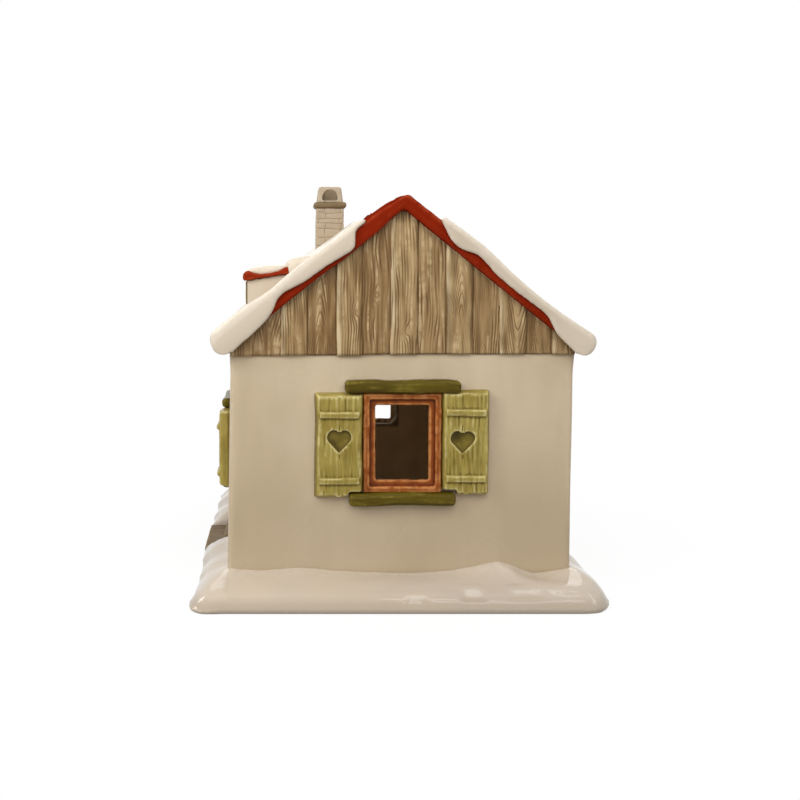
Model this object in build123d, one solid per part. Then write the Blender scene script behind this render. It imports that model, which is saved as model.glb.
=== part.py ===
from build123d import *
from types import SimpleNamespace
import math
import os

# Millimetres. X runs from the front (door side) to the back, Y along the ridge, Z up from the table.
# The right gable is the one at -Y.

# Walls and base
wall_width = 121.0
wall_depth = 130.0
wall_thickness = 4.5
eave_height = 88.5
ridge_height = 137.0
front_apron = 14.0
back_apron = 11.0
end_apron = 18.0
base_corner_radius = 10.0
rim_height = 2.8
rim_radius = 3.4
foot_radius = 0.6
snow_line = 10.5
snow_shelf = 1.6
floor_top = 7.0
foot_recess = 2.0
drift_radius = 7.0
drift_centre_height = 1.8
drift_length_share = 1.4
drift_place_shares = [-0.61, -0.37, 0.4, 0.68]

# Path, doorstep and door
path_width = 32.0
path_top = 3.0
path_thickness = 1.8
path_set_back = 0.4
path_lip = 2.4
path_valley_radius = 60.0
path_joint_width = 0.8
path_joint_depth = 0.6
path_joint_shares = [-0.2, 0.17]
step_width = 26.0
step_depth = 6.0
step_height = 4.6
door_width = 16.0
door_height = 31.0
door_thickness = 1.6
door_frame_width = 2.4
door_frame_proud = 2.4
door_plank_shares = [-0.25, 0.0, 0.25]
knob_radius = 1.1
knob_neck_radius = 0.6
knob_reach = 1.4
knob_height_share = 0.48
knob_side_share = 0.34

# Roof and its snow
roof_thickness = 4.7
rake_overhang = 4.0
eave_overhang = 2.2
roof_edge_radius = 1.2
snow_depth = 2.2
snow_nose = 2.0
snow_brow_radius = 3.6
snow_lip_radius = 1.4
drape_depth = 1.6
drape_hang_share = 1.25
snow_top_shares = [
    (-1.0, 0.14), (-0.72, 0.22), (-0.38, 0.12), (-0.1, 0.2), (0.2, 0.15), (0.5, 0.23), (0.78, 0.18), (1.0, 0.16)
]
right_drape_shares = [
    (0.16, 1.1), (0.23, 0.75), (0.26, 0.12), (0.33, 0.04), (0.42, 0.25), (0.55, 0.42),
    (0.67, 0.58), (0.71, 0.2), (0.76, -0.08), (0.88, -0.28), (1.0, -0.45),
]
left_drape_shares = [
    (0.14, 1.1), (0.19, 0.7), (0.26, 0.26), (0.31, 0.32), (0.37, 0.68), (0.44, 0.56), (0.57, 0.38),
    (0.7, 0.46), (0.78, 0.38), (0.84, -0.08), (0.92, -0.28), (1.0, -0.45),
]

# Gable boards
board_count = 13
board_drop = 3.3
board_thickness = 1.2
board_step = 0.35

# Gable window; the other windows are shares of it
opening_width = 18.8
opening_height = 26.6
opening_bottom_share = 0.471
frame_width = 4.3
frame_outer_share = 0.5
frame_proud = 2.8
frame_step_proud = 1.5
frame_radius = 0.5
lintel_height = 4.6
lintel_proud = 4.6
lintel_reach_share = 0.4
sill_height = 4.8
sill_proud = 4.4
sill_reach_share = 0.31
rail_radius = 1.5
shutter_width = 17.0
shutter_lap = 1.8
shutter_thickness = 3.9
shutter_radius = 0.7
batten_height = 2.4
batten_proud = 0.9
batten_shares = [0.12, 0.81]
plank_groove_width = 0.5
plank_groove_depth = 0.4
heart_width = 9.4
heart_depth = 1.2
heart_height_share = 0.59
heart_lobe_share = 0.27
heart_tip_share = 0.62
small_width_share = 0.68
small_height_share = 0.74
front_window_share = 0.57

# Dormer on the front slope
dormer_width = 34.0
dormer_set_back = 3.9
dormer_height = 13.4
dormer_wall = 2.6
dormer_pitch = 9.2
dormer_roof_thickness = 2.4
dormer_roof_overhang = 1.8
dormer_roof_radius = 0.8
dormer_snow_depth = 2.0
dormer_snow_margin = 0.9
dormer_opening_width = 8.6
dormer_opening_height = 6.4
dormer_opening_share = 0.37
dormer_frame_width = 1.5
dormer_frame_proud = 1.2
dormer_shutter_width = 5.6
dormer_shutter_thickness = 1.3
dormer_shutter_radius = 0.4
dormer_well_margin = 1.0

# Chimney
chimney_x_share = 0.364
chimney_gap = 1.6
chimney_foot_width = 13.8
chimney_neck_width = 11.9
chimney_rise = 8.0
collar_width = 14.2
collar_height = 2.6
collar_radius = 1.1
cap_foot_width = 11.6
cap_top_width = 9.8
cap_height = 6.8
cap_radius = 1.2
arch_width = 6.6
arch_height = 4.5
arch_depth = 0.9
arch_lift_share = 0.14

# Light unit
light_hole_radius = 23.0
flange_overlap = 3.0
flange_thickness = 1.3
barrel_gap = 0.7
barrel_wall = 1.6
barrel_height = 10.0
grip_height = 2.0
grip_lift = 1.6
grip_groove_depth = 0.4
grip_clearance = 0.05
cover_thickness = 1.4
cover_lip_height = 1.0
cover_lip_wall = 1.2
cover_lip_clearance = 0.1
board_seat_height = 7.0
circuit_thickness = 1.2
circuit_clearance = 0.6
post_count = 3
post_radius = 2.0
post_circle_share = 0.81
screw_radius = 0.9
screw_hole_clearance = 0.2
screw_head_radius = 1.8
screw_head_height = 1.2
screw_bite = 5.0
pilot_extra = 0.4
screw_slot_width = 0.5
screw_slot_depth = 0.5
lamp_radius = 2.5
lamp_barrel = 4.8
lamp_clearance = 0.25
diffuser_radius = 9.0
diffuser_wall = 1.2
diffuser_seat = 0.5
seat_clearance = 0.05
cell_radius = 10.0
cell_height = 3.2
cell_step = 0.5
cell_clearance = 0.15
cup_wall = 0.95
cup_height = 2.0
lid_rim = 0.2
lid_clearance = 0.05
coin_slot_length = 12.0
coin_slot_width = 1.6
coin_slot_depth = 0.7
tab_reach = 1.5
tab_width = 5.0
tab_height = 0.8
tab_clearance = 0.05
tab_turns = [0, 180]
notch_clearance = 0.4
lid_turn = 40.0
contact_thickness = 0.3
contact_width = 3.0
contact_shares = [-0.8, -0.4, 0.2, 0.5]
contact_foot = 2.6
contact_gap = 0.2
knob_length = 4.0
knob_width = 2.4
knob_clearance = 0.1
switch_travel = 3.0
slider_length = 8.0
slider_width = 4.0
slider_height = 0.9
slider_clearance = 0.05
switch_circle_share = 0.82

overrun = 1.0
tiny = 0.01

# Derived places
half_width = wall_width / 2
half_depth = wall_depth / 2
base_width = wall_width + front_apron + back_apron
base_depth = wall_depth + 2 * end_apron
house_x = (front_apron - back_apron) / 2
pitch = math.atan2(ridge_height - eave_height, half_width)
slope_length = (half_width + eave_overhang) / math.cos(pitch)
ridge_top = ridge_height + roof_thickness / math.cos(pitch)
ridge_mitre = roof_thickness * math.tan(pitch)
rake_half = half_depth + rake_overhang
house_turn = Pos(house_x, 0, 0)

wall_places = {
    "right": house_turn * Pos(0, -half_depth, 0),
    "left": house_turn * Rot(0, 0, 180) * Pos(0, -half_depth, 0),
    "front": house_turn * Rot(0, 0, -90) * Pos(0, -half_width, 0),
    "back": house_turn * Rot(0, 0, 90) * Pos(0, -half_width, 0),
}


def block(width, depth, height, x, y, z):
    return Pos(x, y, z) * Box(width, depth, height, align=(Align.CENTER, Align.CENTER, Align.MIN))


def disc(radius, bottom, top):
    return Pos(0, 0, bottom) * Cylinder(radius, top - bottom, align=(Align.CENTER, Align.CENTER, Align.MIN))


def prism(points, start, end):
    """A shape drawn in X and Z that runs along Y from start to end."""
    outline = Polyline([(x, start, z) for x, z in points], close=True)
    return extrude(make_face(outline), amount=end - start, dir=(0, 1, 0))


def relief(width, height, proud, x, z, radius):
    """A block on the outer face of a wall, with its outer edges rounded."""
    body = block(width, proud, height, x, -proud / 2, z)
    outer = [edge for edge in body.edges() if edge.center().Y < -tiny]
    return fillet(outer, radius)


def plank_groove(x, face, bottom, height):
    """A thin upright cut into the face of a door or shutter."""
    return block(plank_groove_width, 2 * plank_groove_depth, height + 2 * overrun, x, face, bottom - overrun)


def under_roof():
    """Everything under the planes of the roof's top."""
    reach = half_width + eave_overhang
    outline = [(-reach, roof_top_at(reach)), (0, ridge_top), (reach, roof_top_at(reach)), (0, 0)]
    return house_turn * prism(outline, -half_depth, half_depth)


def roof_top_at(x):
    return ridge_top - abs(x) * math.tan(pitch)


# Base, path and door


def snow_base():
    foot = extrude(RectangleRounded(base_width, base_depth, base_corner_radius), amount=rim_height)
    rim = Pos(0, 0, rim_height) * RectangleRounded(base_width, base_depth, base_corner_radius)
    shelf_width = wall_width + 2 * snow_shelf
    shelf_depth = wall_depth + 2 * snow_shelf
    shelf = Pos(house_x, 0, snow_line) * RectangleRounded(shelf_width, shelf_depth, snow_shelf)
    body = foot + loft([rim, shelf])
    body = fillet(body.edges().filter_by_position(Axis.Z, rim_height - tiny, rim_height + tiny), rim_radius)
    body = fillet(body.edges().filter_by_position(Axis.Z, -tiny, tiny), foot_radius)
    drift = scale(Sphere(drift_radius), by=(1, drift_length_share, 1))
    for share in drift_place_shares:
        place = Pos(-base_width / 2 + front_apron / 2, share * base_depth / 2, drift_centre_height)
        body += place * drift & block(base_width, base_depth, base_width, 0, 0, foot_recess)
    body -= block(wall_width, wall_depth, snow_line, house_x, 0, floor_top)
    hollow = RectangleRounded(wall_width - 2 * wall_thickness, wall_depth - 2 * wall_thickness, base_corner_radius)
    body -= house_turn * extrude(hollow, amount=foot_recess)
    body -= house_turn * disc(light_hole_radius, 0, floor_top + overrun)
    return body - path_valley() - path_channel()


def path_channel():
    """The way cut through the snow from the front edge to the wall, down to the table at the edge."""
    start = -base_width / 2
    way = path_run(start - overrun, path_top - path_thickness, snow_line + overrun)
    lip_end = start + path_set_back + path_lip
    return way + block(lip_end - start + overrun, path_width, path_top, (start - overrun + lip_end) / 2, 0, 0)


def path_run(start, bottom, top):
    """A block of the path's width from X start to the front wall."""
    end = house_x - half_width
    return block(end - start, path_width, top - bottom, (start + end) / 2, 0, bottom)


def path_valley():
    """The dip in the snow on both sides of the path."""
    length = front_apron + overrun
    valley = Rot(0, 90, 0) * Cylinder(path_valley_radius, length)
    return Pos(house_x - half_width - length / 2, 0, path_top + path_valley_radius) * valley


def path_slab():
    start = -base_width / 2 + path_set_back
    slab = path_run(start, path_top - path_thickness, path_top)
    slab += block(path_lip, path_width, path_top, start + path_lip / 2, 0, 0)
    for share in path_joint_shares:
        joint_z = path_top - path_joint_depth
        slab -= block(base_width, path_joint_width, path_thickness, 0, share * path_width, joint_z)
    return slab


def doorstep():
    step = relief(step_width, step_height, step_depth, 0, path_top, rail_radius / 2)
    return wall_places["front"] * step


def door_bottom():
    return path_top + step_height


def door_leaf():
    leaf = block(door_width, door_thickness, door_height, 0, -door_thickness / 2, door_bottom())
    for share in door_plank_shares:
        leaf -= plank_groove(share * door_width, -door_thickness, door_bottom(), door_height)
    return wall_places["front"] * leaf


def door_frame():
    width = door_width + 2 * door_frame_width
    frame = relief(width, door_height + door_frame_width, door_frame_proud, 0, door_bottom(), frame_radius)
    frame -= block(door_width, 2 * door_frame_proud + overrun, door_height, 0, 0, door_bottom())
    return wall_places["front"] * frame


def door_knob():
    z = door_bottom() + knob_height_share * door_height
    neck = Cylinder(knob_neck_radius, knob_reach, align=(Align.CENTER, Align.CENTER, Align.MIN))
    knob = neck + Pos(0, 0, knob_reach) * Sphere(knob_radius)
    place = Pos(knob_side_share * door_width, -door_thickness, z) * Rot(90, 0, 0)
    return wall_places["front"] * place * knob


# Windows


def window_sizes(width_share, height_share):
    size = SimpleNamespace()
    size.width = opening_width * width_share
    size.height = opening_height * height_share
    size.bottom = opening_bottom_share * eave_height
    size.side = frame_width * width_share
    size.edge = frame_width * height_share
    size.frame_bottom = size.bottom - size.edge
    size.frame_top = size.bottom + size.height + size.edge
    size.half = size.width / 2 + size.side
    size.shutter_width = shutter_width * width_share
    size.shutter_bottom = size.frame_bottom - shutter_lap * height_share
    size.shutter_height = size.frame_top - size.shutter_bottom
    size.lintel_height = lintel_height * height_share
    size.sill_height = sill_height * height_share
    size.lintel_proud = lintel_proud * height_share
    size.sill_proud = sill_proud * height_share
    size.rail_radius = rail_radius * height_share
    size.heart = heart_width * width_share
    size.batten = batten_height * height_share
    return size


gable_sizes = window_sizes(1, 1)
small_sizes = window_sizes(small_width_share, small_height_share)

windows = {
    "right_gable": ("right", 0, gable_sizes),
    "left_gable": ("left", 0, gable_sizes),
    "front_right": ("front", front_window_share * half_depth, small_sizes),
    "front_left": ("front", -front_window_share * half_depth, small_sizes),
    "back": ("back", 0, small_sizes),
}


def window_hole(size, x):
    return block(size.width, 2 * (wall_thickness + frame_proud), size.height, x, 0, size.bottom)


def window_frame(size, x):
    outer = relief(2 * size.half, size.frame_top - size.frame_bottom, frame_proud, x, size.frame_bottom, frame_radius)
    step_side = size.side * (1 - frame_outer_share)
    step_edge = size.edge * (1 - frame_outer_share)
    step = block(size.width + 2 * step_side, frame_proud, size.height + 2 * step_edge, x,
                 -frame_step_proud - frame_proud / 2, size.bottom - step_edge)
    return outer - step - window_hole(size, x)


def window_lintel(size, x):
    width = 2 * (size.half + lintel_reach_share * size.shutter_width)
    return relief(width, size.lintel_height, size.lintel_proud, x, size.frame_top, size.rail_radius)


def window_sill(size, x):
    width = 2 * (size.half + sill_reach_share * size.shutter_width)
    bottom = size.frame_bottom - size.sill_height
    return relief(width, size.sill_height, size.sill_proud, x, bottom, size.rail_radius)


def heart(width):
    """A heart of this width, its lobes' centres on the X axis."""
    lobe = heart_lobe_share * width
    centre = width / 2 - lobe
    tip = heart_tip_share * width
    reach = math.hypot(centre, tip)
    turn = math.atan2(centre, tip) + math.asin(lobe / reach)
    run = math.sqrt(reach ** 2 - lobe ** 2)
    side = (run * math.sin(turn), run * math.cos(turn) - tip)
    point = make_face(Polyline((0, -tip), side, (centre, 0), (0, centre), (-centre, 0), (-side[0], side[1]), close=True))
    return Pos(-centre, 0) * Circle(lobe) + Pos(centre, 0) * Circle(lobe) + point


def shutter(size, x):
    plate = relief(size.shutter_width, size.shutter_height, shutter_thickness, x, size.shutter_bottom, shutter_radius)
    plate -= plank_groove(x, -shutter_thickness, size.shutter_bottom, size.shutter_height)
    for share in batten_shares:
        batten_z = size.shutter_bottom + share * size.shutter_height
        plate += relief(size.shutter_width - 2 * shutter_radius, size.batten, shutter_thickness + batten_proud,
                        x, batten_z, plank_groove_depth)
    heart_z = size.shutter_bottom + heart_height_share * size.shutter_height
    face = Plane((x, -shutter_thickness - overrun, heart_z), x_dir=(1, 0, 0), z_dir=(0, -1, 0))
    return plate - extrude(face * heart(size.heart), amount=-(heart_depth + overrun))


def window_pieces(wall, x, size):
    lintel = window_lintel(size, x)
    sill = window_sill(size, x)
    offset = size.half + size.shutter_width / 2
    pieces = {
        "window_frame": window_frame(size, x),
        "lintel": lintel,
        "sill": sill,
        "left_shutter": shutter(size, x - offset) - lintel - sill,
        "right_shutter": shutter(size, x + offset) - lintel - sill,
    }
    return {name: wall_places[wall] * piece for name, piece in pieces.items()}


# Walls and gable boards


def gable_wall(wall):
    outline = [(-half_width, floor_top), (half_width, floor_top), (half_width, eave_height), (0, ridge_height),
               (-half_width, eave_height)]
    return wall_places[wall] * pierced(prism(outline, 0, wall_thickness), wall)


def long_wall(wall):
    top = eave_height + wall_thickness * math.tan(pitch)
    inner = half_depth - wall_thickness
    outline = [(0, floor_top), (wall_thickness, floor_top), (wall_thickness, top), (0, eave_height)]
    face = make_face(Polyline([(-inner, y, z) for y, z in outline], close=True))
    return wall_places[wall] * pierced(extrude(face, amount=2 * inner, dir=(1, 0, 0)), wall)


def pierced(body, wall):
    for place, x, size in windows.values():
        if place == wall:
            body -= window_hole(size, x)
    return body


def gable_boards(wall):
    """Upright boards side by side, every second one a little thicker."""
    boards = []
    width = wall_width / board_count
    bottom = eave_height - board_drop
    for number in range(board_count):
        left = -half_width + number * width
        right = left + width
        top = [(x, ridge_height - abs(x) * math.tan(pitch)) for x in (right, left)]
        if left < 0 < right:
            top.insert(1, (0, ridge_height))
        proud = board_thickness + board_step * (number % 2)
        boards.append(wall_places[wall] * prism([(left, bottom), (right, bottom)] + top, -proud, 0))
    return Compound(boards)


# Roof, dormer and chimney


def slope_point(along, up):
    """X and Z of a point on the front half of the roof: along its underside from the ridge, and up from it."""
    x = -along * math.cos(pitch) - up * math.sin(pitch)
    z = ridge_height - along * math.sin(pitch) + up * math.cos(pitch)
    return x, z


def roof_shell():
    end, corner = slope_point(slope_length, 0), slope_point(slope_length, roof_thickness)
    outline = [(0, ridge_height), end, corner, (0, ridge_top), (-corner[0], corner[1]), (-end[0], end[1])]
    shell = prism(outline, -rake_half, rake_half)
    outer = [edge for edge in shell.edges().filter_by(Axis.Y)
             if min(abs(edge.center().Z - z) for z in (ridge_top, corner[1])) < tiny]
    shell = fillet(outer, roof_edge_radius)
    return house_turn * shell - dormer_well()


def slope_snow():
    """Snow of one slope: X down the slope from the ridge, Y along the house, Z off the roof."""
    end = slope_length + ridge_mitre
    nose = end + snow_nose
    reach = rake_half + drape_depth
    hang = -drape_hang_share * roof_thickness
    outline = [(0, 0), (end, 0), (end, hang), (nose, hang), (nose, snow_depth), (0, snow_depth)]
    body = prism(outline, -reach, reach)
    body = round_nose(body, nose)
    body += drape(right_drape_shares, rake_half, drape_depth)
    body += drape(left_drape_shares, -rake_half, -drape_depth)
    crest = [(ridge_mitre + along * slope_length, side * reach) for side, along in snow_top_shares]
    edge = Spline([(x, y, hang) for x, y in crest])
    first, last = crest[0], crest[-1]
    rest = Polyline((last[0], last[1], hang), (last[0], reach + overrun, hang), (-end, reach + overrun, hang),
                    (-end, -reach - overrun, hang), (first[0], -reach - overrun, hang), (first[0], first[1], hang))
    return body - extrude(make_face(edge + rest), amount=snow_depth - 2 * hang, dir=(0, 0, 1))


def drape(shares, start, depth):
    """Snow that hangs over the roof's edge at one gable."""
    lower = [(ridge_mitre + along * slope_length, start, (up - 1) * roof_thickness) for along, up in shares]
    nose = slope_length + ridge_mitre + snow_nose
    first, last = lower[0], lower[-1]
    hang = -drape_hang_share * roof_thickness
    rest = Polyline(last, (nose, start, hang), (nose, start, snow_depth), (first[0], start, snow_depth), first)
    return round_nose(extrude(make_face(Spline(lower) + rest), amount=depth, dir=(0, 1, 0)), nose)


def round_nose(body, nose):
    """Rounds the snow's upper and lower edge at the eave."""
    for pick, radius in ((max, snow_brow_radius), (min, snow_lip_radius)):
        ends = [edge for edge in body.edges().filter_by(Axis.Y) if edge.center().X > nose - tiny]
        body = fillet(pick(ends, key=lambda edge: edge.center().Z), radius)
    return body


def slope_plane(side):
    """The roof's top on one side: -1 for the front, 1 for the back."""
    down = (side * math.cos(pitch), 0, -math.sin(pitch))
    off = (side * math.sin(pitch), 0, math.cos(pitch))
    return Plane((house_x, 0, ridge_top), x_dir=down, z_dir=off).location


def roof_snow_front():
    snow = slope_plane(-1) * slope_snow()
    for piece in (dormer_block(), dormer_roof(), dormer_snow(), dormer_window_frame(), dormer_shutters(),
                  chimney_stack()):
        snow -= piece
    return snow


def roof_snow_back():
    return slope_plane(1) * slope_snow()


dormer_front = -(half_width - dormer_set_back)
dormer_foot = roof_top_at(dormer_front)
dormer_eave = dormer_foot + dormer_height
dormer_rise = math.tan(math.radians(dormer_pitch))


def dormer_meets(lift):
    """X where the dormer's roof plane, lifted by this much, meets the main roof's top."""
    return (dormer_eave + lift - dormer_rise * dormer_front - ridge_top) / (math.tan(pitch) - dormer_rise)


def dormer_line(x, lift):
    return dormer_eave + lift + dormer_rise * (x - dormer_front)


def dormer_layer(start, low, high, half):
    """A layer that follows the dormer's roof, from X start back to the main roof."""
    back_low, back_high = dormer_meets(low), dormer_meets(high)
    outline = [(start, dormer_line(start, low)), (back_low, roof_top_at(back_low)),
               (back_high, roof_top_at(back_high)), (start, dormer_line(start, high))]
    return house_turn * prism(outline, -half, half)


def dormer_block():
    """The dormer's outside, filled."""
    back = dormer_meets(0)
    half = dormer_width / 2
    outline = [(dormer_front, dormer_foot), (back, roof_top_at(back)), (dormer_front, dormer_eave)]
    return house_turn * prism(outline, -half, half)


def dormer_body():
    half = dormer_width / 2 - dormer_wall
    inner = dormer_front + dormer_wall
    inner_back = dormer_meets(-dormer_wall)
    hollow = [(inner, roof_top_at(inner) - overrun), (inner_back, roof_top_at(inner_back) - overrun),
              (inner_back, roof_top_at(inner_back)), (inner, dormer_line(inner, -dormer_wall))]
    return dormer_block() - house_turn * prism(hollow, -half, half) - dormer_place() * dormer_hole()


def dormer_place():
    return house_turn * Rot(0, 0, -90) * Pos(0, dormer_front, 0)


def dormer_opening_bottom():
    return dormer_foot + dormer_opening_share * dormer_height


def dormer_hole():
    return block(dormer_opening_width, 2 * (dormer_wall + dormer_frame_proud), dormer_opening_height, 0, 0, dormer_opening_bottom())


def dormer_well():
    """The hole in the roof that lets light into the dormer."""
    start = dormer_front + dormer_wall + dormer_well_margin
    end = dormer_meets(-dormer_wall) - dormer_well_margin
    width = dormer_width - 2 * dormer_wall - 2 * dormer_well_margin
    return block(end - start, width, ridge_top, house_x + (start + end) / 2, 0, eave_height - overrun)


def dormer_roof():
    half = dormer_width / 2 + dormer_roof_overhang
    start = dormer_front - dormer_roof_overhang
    layer = dormer_layer(start, 0, dormer_roof_thickness, half)
    nose = [edge for edge in layer.edges().filter_by(Axis.Y) if edge.center().X < house_x + start + tiny]
    return fillet(nose, dormer_roof_radius)


def dormer_snow():
    half = dormer_width / 2 + dormer_roof_overhang - dormer_snow_margin
    start = dormer_front - dormer_roof_overhang + dormer_snow_margin
    return dormer_layer(start, dormer_roof_thickness, dormer_roof_thickness + dormer_snow_depth, half)


def dormer_window_frame():
    width = dormer_opening_width + 2 * dormer_frame_width
    height = dormer_opening_height + 2 * dormer_frame_width
    bottom = dormer_opening_bottom() - dormer_frame_width
    return dormer_place() * (relief(width, height, dormer_frame_proud, 0, bottom, frame_radius) - dormer_hole())


def dormer_shutters():
    offset = dormer_opening_width / 2 + dormer_frame_width + dormer_shutter_width / 2
    height = dormer_opening_height + 2 * dormer_frame_width
    bottom = dormer_opening_bottom() - dormer_frame_width
    pair = [relief(dormer_shutter_width, height, dormer_shutter_thickness, x, bottom, dormer_shutter_radius)
            for x in (-offset, offset)]
    return Compound([dormer_place() * piece for piece in pair])


chimney_y = dormer_width / 2 + dormer_roof_overhang + chimney_gap + chimney_foot_width / 2
chimney_place = house_turn * Pos(-chimney_x_share * half_width, chimney_y, 0)
collar_top = ridge_top + chimney_rise - cap_height
collar_bottom = collar_top - collar_height


def taper(foot_width, top_width, bottom, top):
    return loft([Pos(0, 0, bottom) * Rectangle(foot_width, foot_width), Pos(0, 0, top) * Rectangle(top_width, top_width)])


def chimney_stack():
    stack = taper(chimney_foot_width, chimney_neck_width, eave_height, collar_bottom)
    return chimney_place * stack - under_roof()


def chimney_collar():
    collar = block(collar_width, collar_width, collar_height, 0, 0, collar_bottom)
    return chimney_place * fillet(collar.edges(), collar_radius)


def chimney_cap():
    cap = taper(cap_foot_width, cap_top_width, collar_top, collar_top + cap_height)
    cap = fillet(cap.edges().filter_by_position(Axis.Z, collar_top + tiny, collar_top + 2 * cap_height), cap_radius)
    spring = arch_height - arch_width / 2
    low = collar_top + arch_lift_share * cap_height
    arch = Pos(0, spring / 2) * Rectangle(arch_width, spring) + Pos(0, spring) * Circle(arch_width / 2)
    for turn in (0, 90, 180, 270):
        slant = (cap_foot_width + cap_top_width) / 4
        face = Plane((0, -slant - overrun, low), x_dir=(1, 0, 0), z_dir=(0, -1, 0))
        cap -= Rot(0, 0, turn) * extrude(face * arch, amount=-(arch_depth + overrun))
    return chimney_place * cap


# Light unit, built around its own axis

flange_top = foot_recess
flange_bottom = flange_top - flange_thickness
barrel_radius = light_hole_radius - barrel_gap
barrel_bore = barrel_radius - barrel_wall
barrel_top = flange_top + barrel_height
board_bottom = flange_top + board_seat_height
board_top = board_bottom + circuit_thickness
cover_top = barrel_top + cover_thickness
cup_bore = cell_radius + cell_clearance
cup_radius = cup_bore + cup_wall
lid_radius = cup_radius + lid_rim
lid_opening = lid_radius + lid_clearance
cell_top = flange_top + cell_height
switch_y = -switch_circle_share * barrel_bore
slider_bottom = flange_top + slider_clearance
slider_top = slider_bottom + slider_height
screw_hole_radius = screw_radius + screw_hole_clearance
post_places = [Rot(0, 0, 90 + number * 360 / post_count) * Pos(post_circle_share * barrel_bore, 0, 0)
               for number in range(post_count)]


def light_housing():
    body = disc(light_hole_radius + flange_overlap, flange_bottom, flange_top)
    body += disc(barrel_radius, flange_top, barrel_top) - disc(barrel_bore, flange_top, barrel_top)
    for place in post_places:
        post = disc(post_radius, flange_top, board_bottom)
        pilot = disc(screw_radius, board_bottom - screw_bite - pilot_extra, board_bottom)
        body += place * (post - pilot)
    body -= disc(lid_opening, flange_bottom, flange_top)
    for turn in tab_turns:
        reach = lid_opening + tab_reach
        notch = block(reach, tab_width + 2 * notch_clearance, flange_thickness, reach / 2, 0, flange_bottom)
        body -= Rot(0, 0, lid_turn + turn) * notch
    body -= block(knob_length + switch_travel + 2 * knob_clearance, knob_width + 2 * knob_clearance, flange_thickness,
                  0, switch_y, flange_bottom)
    return body - grip_groove()


def grip_groove():
    bottom = flange_top + grip_lift
    return disc(light_hole_radius, bottom, bottom + grip_height) - disc(barrel_radius - grip_groove_depth, 0, barrel_top)


def grip_ring():
    bottom = flange_top + grip_lift
    ring = disc(light_hole_radius - grip_clearance, bottom, bottom + grip_height)
    return ring - disc(barrel_radius - grip_groove_depth, 0, barrel_top)


def light_cover():
    cover = disc(barrel_radius, barrel_top, cover_top)
    lip = barrel_bore - cover_lip_clearance
    cover += disc(lip, barrel_top - cover_lip_height, barrel_top) - disc(lip - cover_lip_wall, 0, barrel_top)
    for place in post_places:
        cover += place * disc(post_radius, board_top, barrel_top)
        cover -= place * disc(screw_hole_radius, board_top, cover_top)
    cover -= disc(lamp_radius + lamp_clearance, board_top, cover_top)
    groove = disc(diffuser_radius + seat_clearance, cover_top - diffuser_seat, cover_top)
    return cover - (groove - disc(diffuser_radius - diffuser_wall - seat_clearance, 0, cover_top))


def cover_screws():
    head = disc(screw_head_radius, cover_top, cover_top + screw_head_height)
    slot_z = cover_top + screw_head_height - screw_slot_depth
    head -= block(screw_head_radius * 3, screw_slot_width, screw_head_height, 0, 0, slot_z)
    screw = head + disc(screw_radius, board_bottom - screw_bite, cover_top)
    return Compound([place * screw for place in post_places])


def circuit_board():
    board = disc(barrel_bore - circuit_clearance, board_bottom, board_top)
    for place in post_places:
        board -= place * disc(screw_hole_radius, board_bottom, board_top)
    return board


def led_lamp():
    shoulder = board_top + lamp_barrel
    return disc(lamp_radius, board_top, shoulder) + Pos(0, 0, shoulder) * Sphere(lamp_radius)


def light_diffuser():
    inner = diffuser_radius - diffuser_wall
    dome = Pos(0, 0, cover_top) * (Sphere(diffuser_radius) - Sphere(inner))
    dome &= disc(diffuser_radius * 2, cover_top, cover_top + diffuser_radius * 2)
    skirt = disc(diffuser_radius, cover_top - diffuser_seat, cover_top)
    return dome + (skirt - disc(inner, 0, cover_top))


def coin_cell():
    return disc(cell_radius, flange_top, cell_top - cell_step) + disc(cell_radius - cell_step, flange_top, cell_top)


def battery_lid():
    lid = disc(lid_radius, flange_bottom, flange_top)
    lid += disc(cup_radius, flange_top, flange_top + cup_height) - disc(cup_bore, flange_top, barrel_top)
    reach = lid_opening + tab_reach - notch_clearance
    for turn in tab_turns:
        tab = block(reach, tab_width, tab_height, reach / 2, 0, flange_top + tab_clearance)
        lid += Rot(0, 0, turn) * (tab - disc(cup_bore + cup_wall / 2, 0, barrel_top))
    return lid - block(coin_slot_length, coin_slot_width, coin_slot_depth, 0, 0, flange_bottom)


def battery_contacts():
    """A leaf that presses on the cell's top, and a strip against its rim."""
    foot, bend, knee, tip = [share * cell_radius for share in contact_shares]
    low, high = cell_top + contact_thickness, board_bottom
    leaf = [(foot, high), (bend, high), (knee, low), (tip, low), (tip, cell_top), (knee, cell_top),
            (bend, high - contact_thickness), (foot, high - contact_thickness)]
    bottom = flange_top + cup_height + contact_gap
    near, far = cell_radius, cell_radius + contact_thickness
    strip = [(near, bottom), (far, bottom), (far, high - contact_thickness), (far + contact_foot, high - contact_thickness),
             (far + contact_foot, high), (near, high)]
    half = contact_width / 2
    return Compound([prism(leaf, -half, half), prism(strip, -half, half)])


def switch_body():
    height = board_bottom - slider_top - slider_clearance
    return block(slider_length + switch_travel, slider_width, height, 0, switch_y, slider_top + slider_clearance)


def switch_slider():
    off = -switch_travel / 2
    knob = block(knob_length, knob_width, slider_bottom - flange_bottom, off, switch_y, flange_bottom)
    return knob + block(slider_length, slider_width, slider_height, off, switch_y, slider_bottom)


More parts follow.
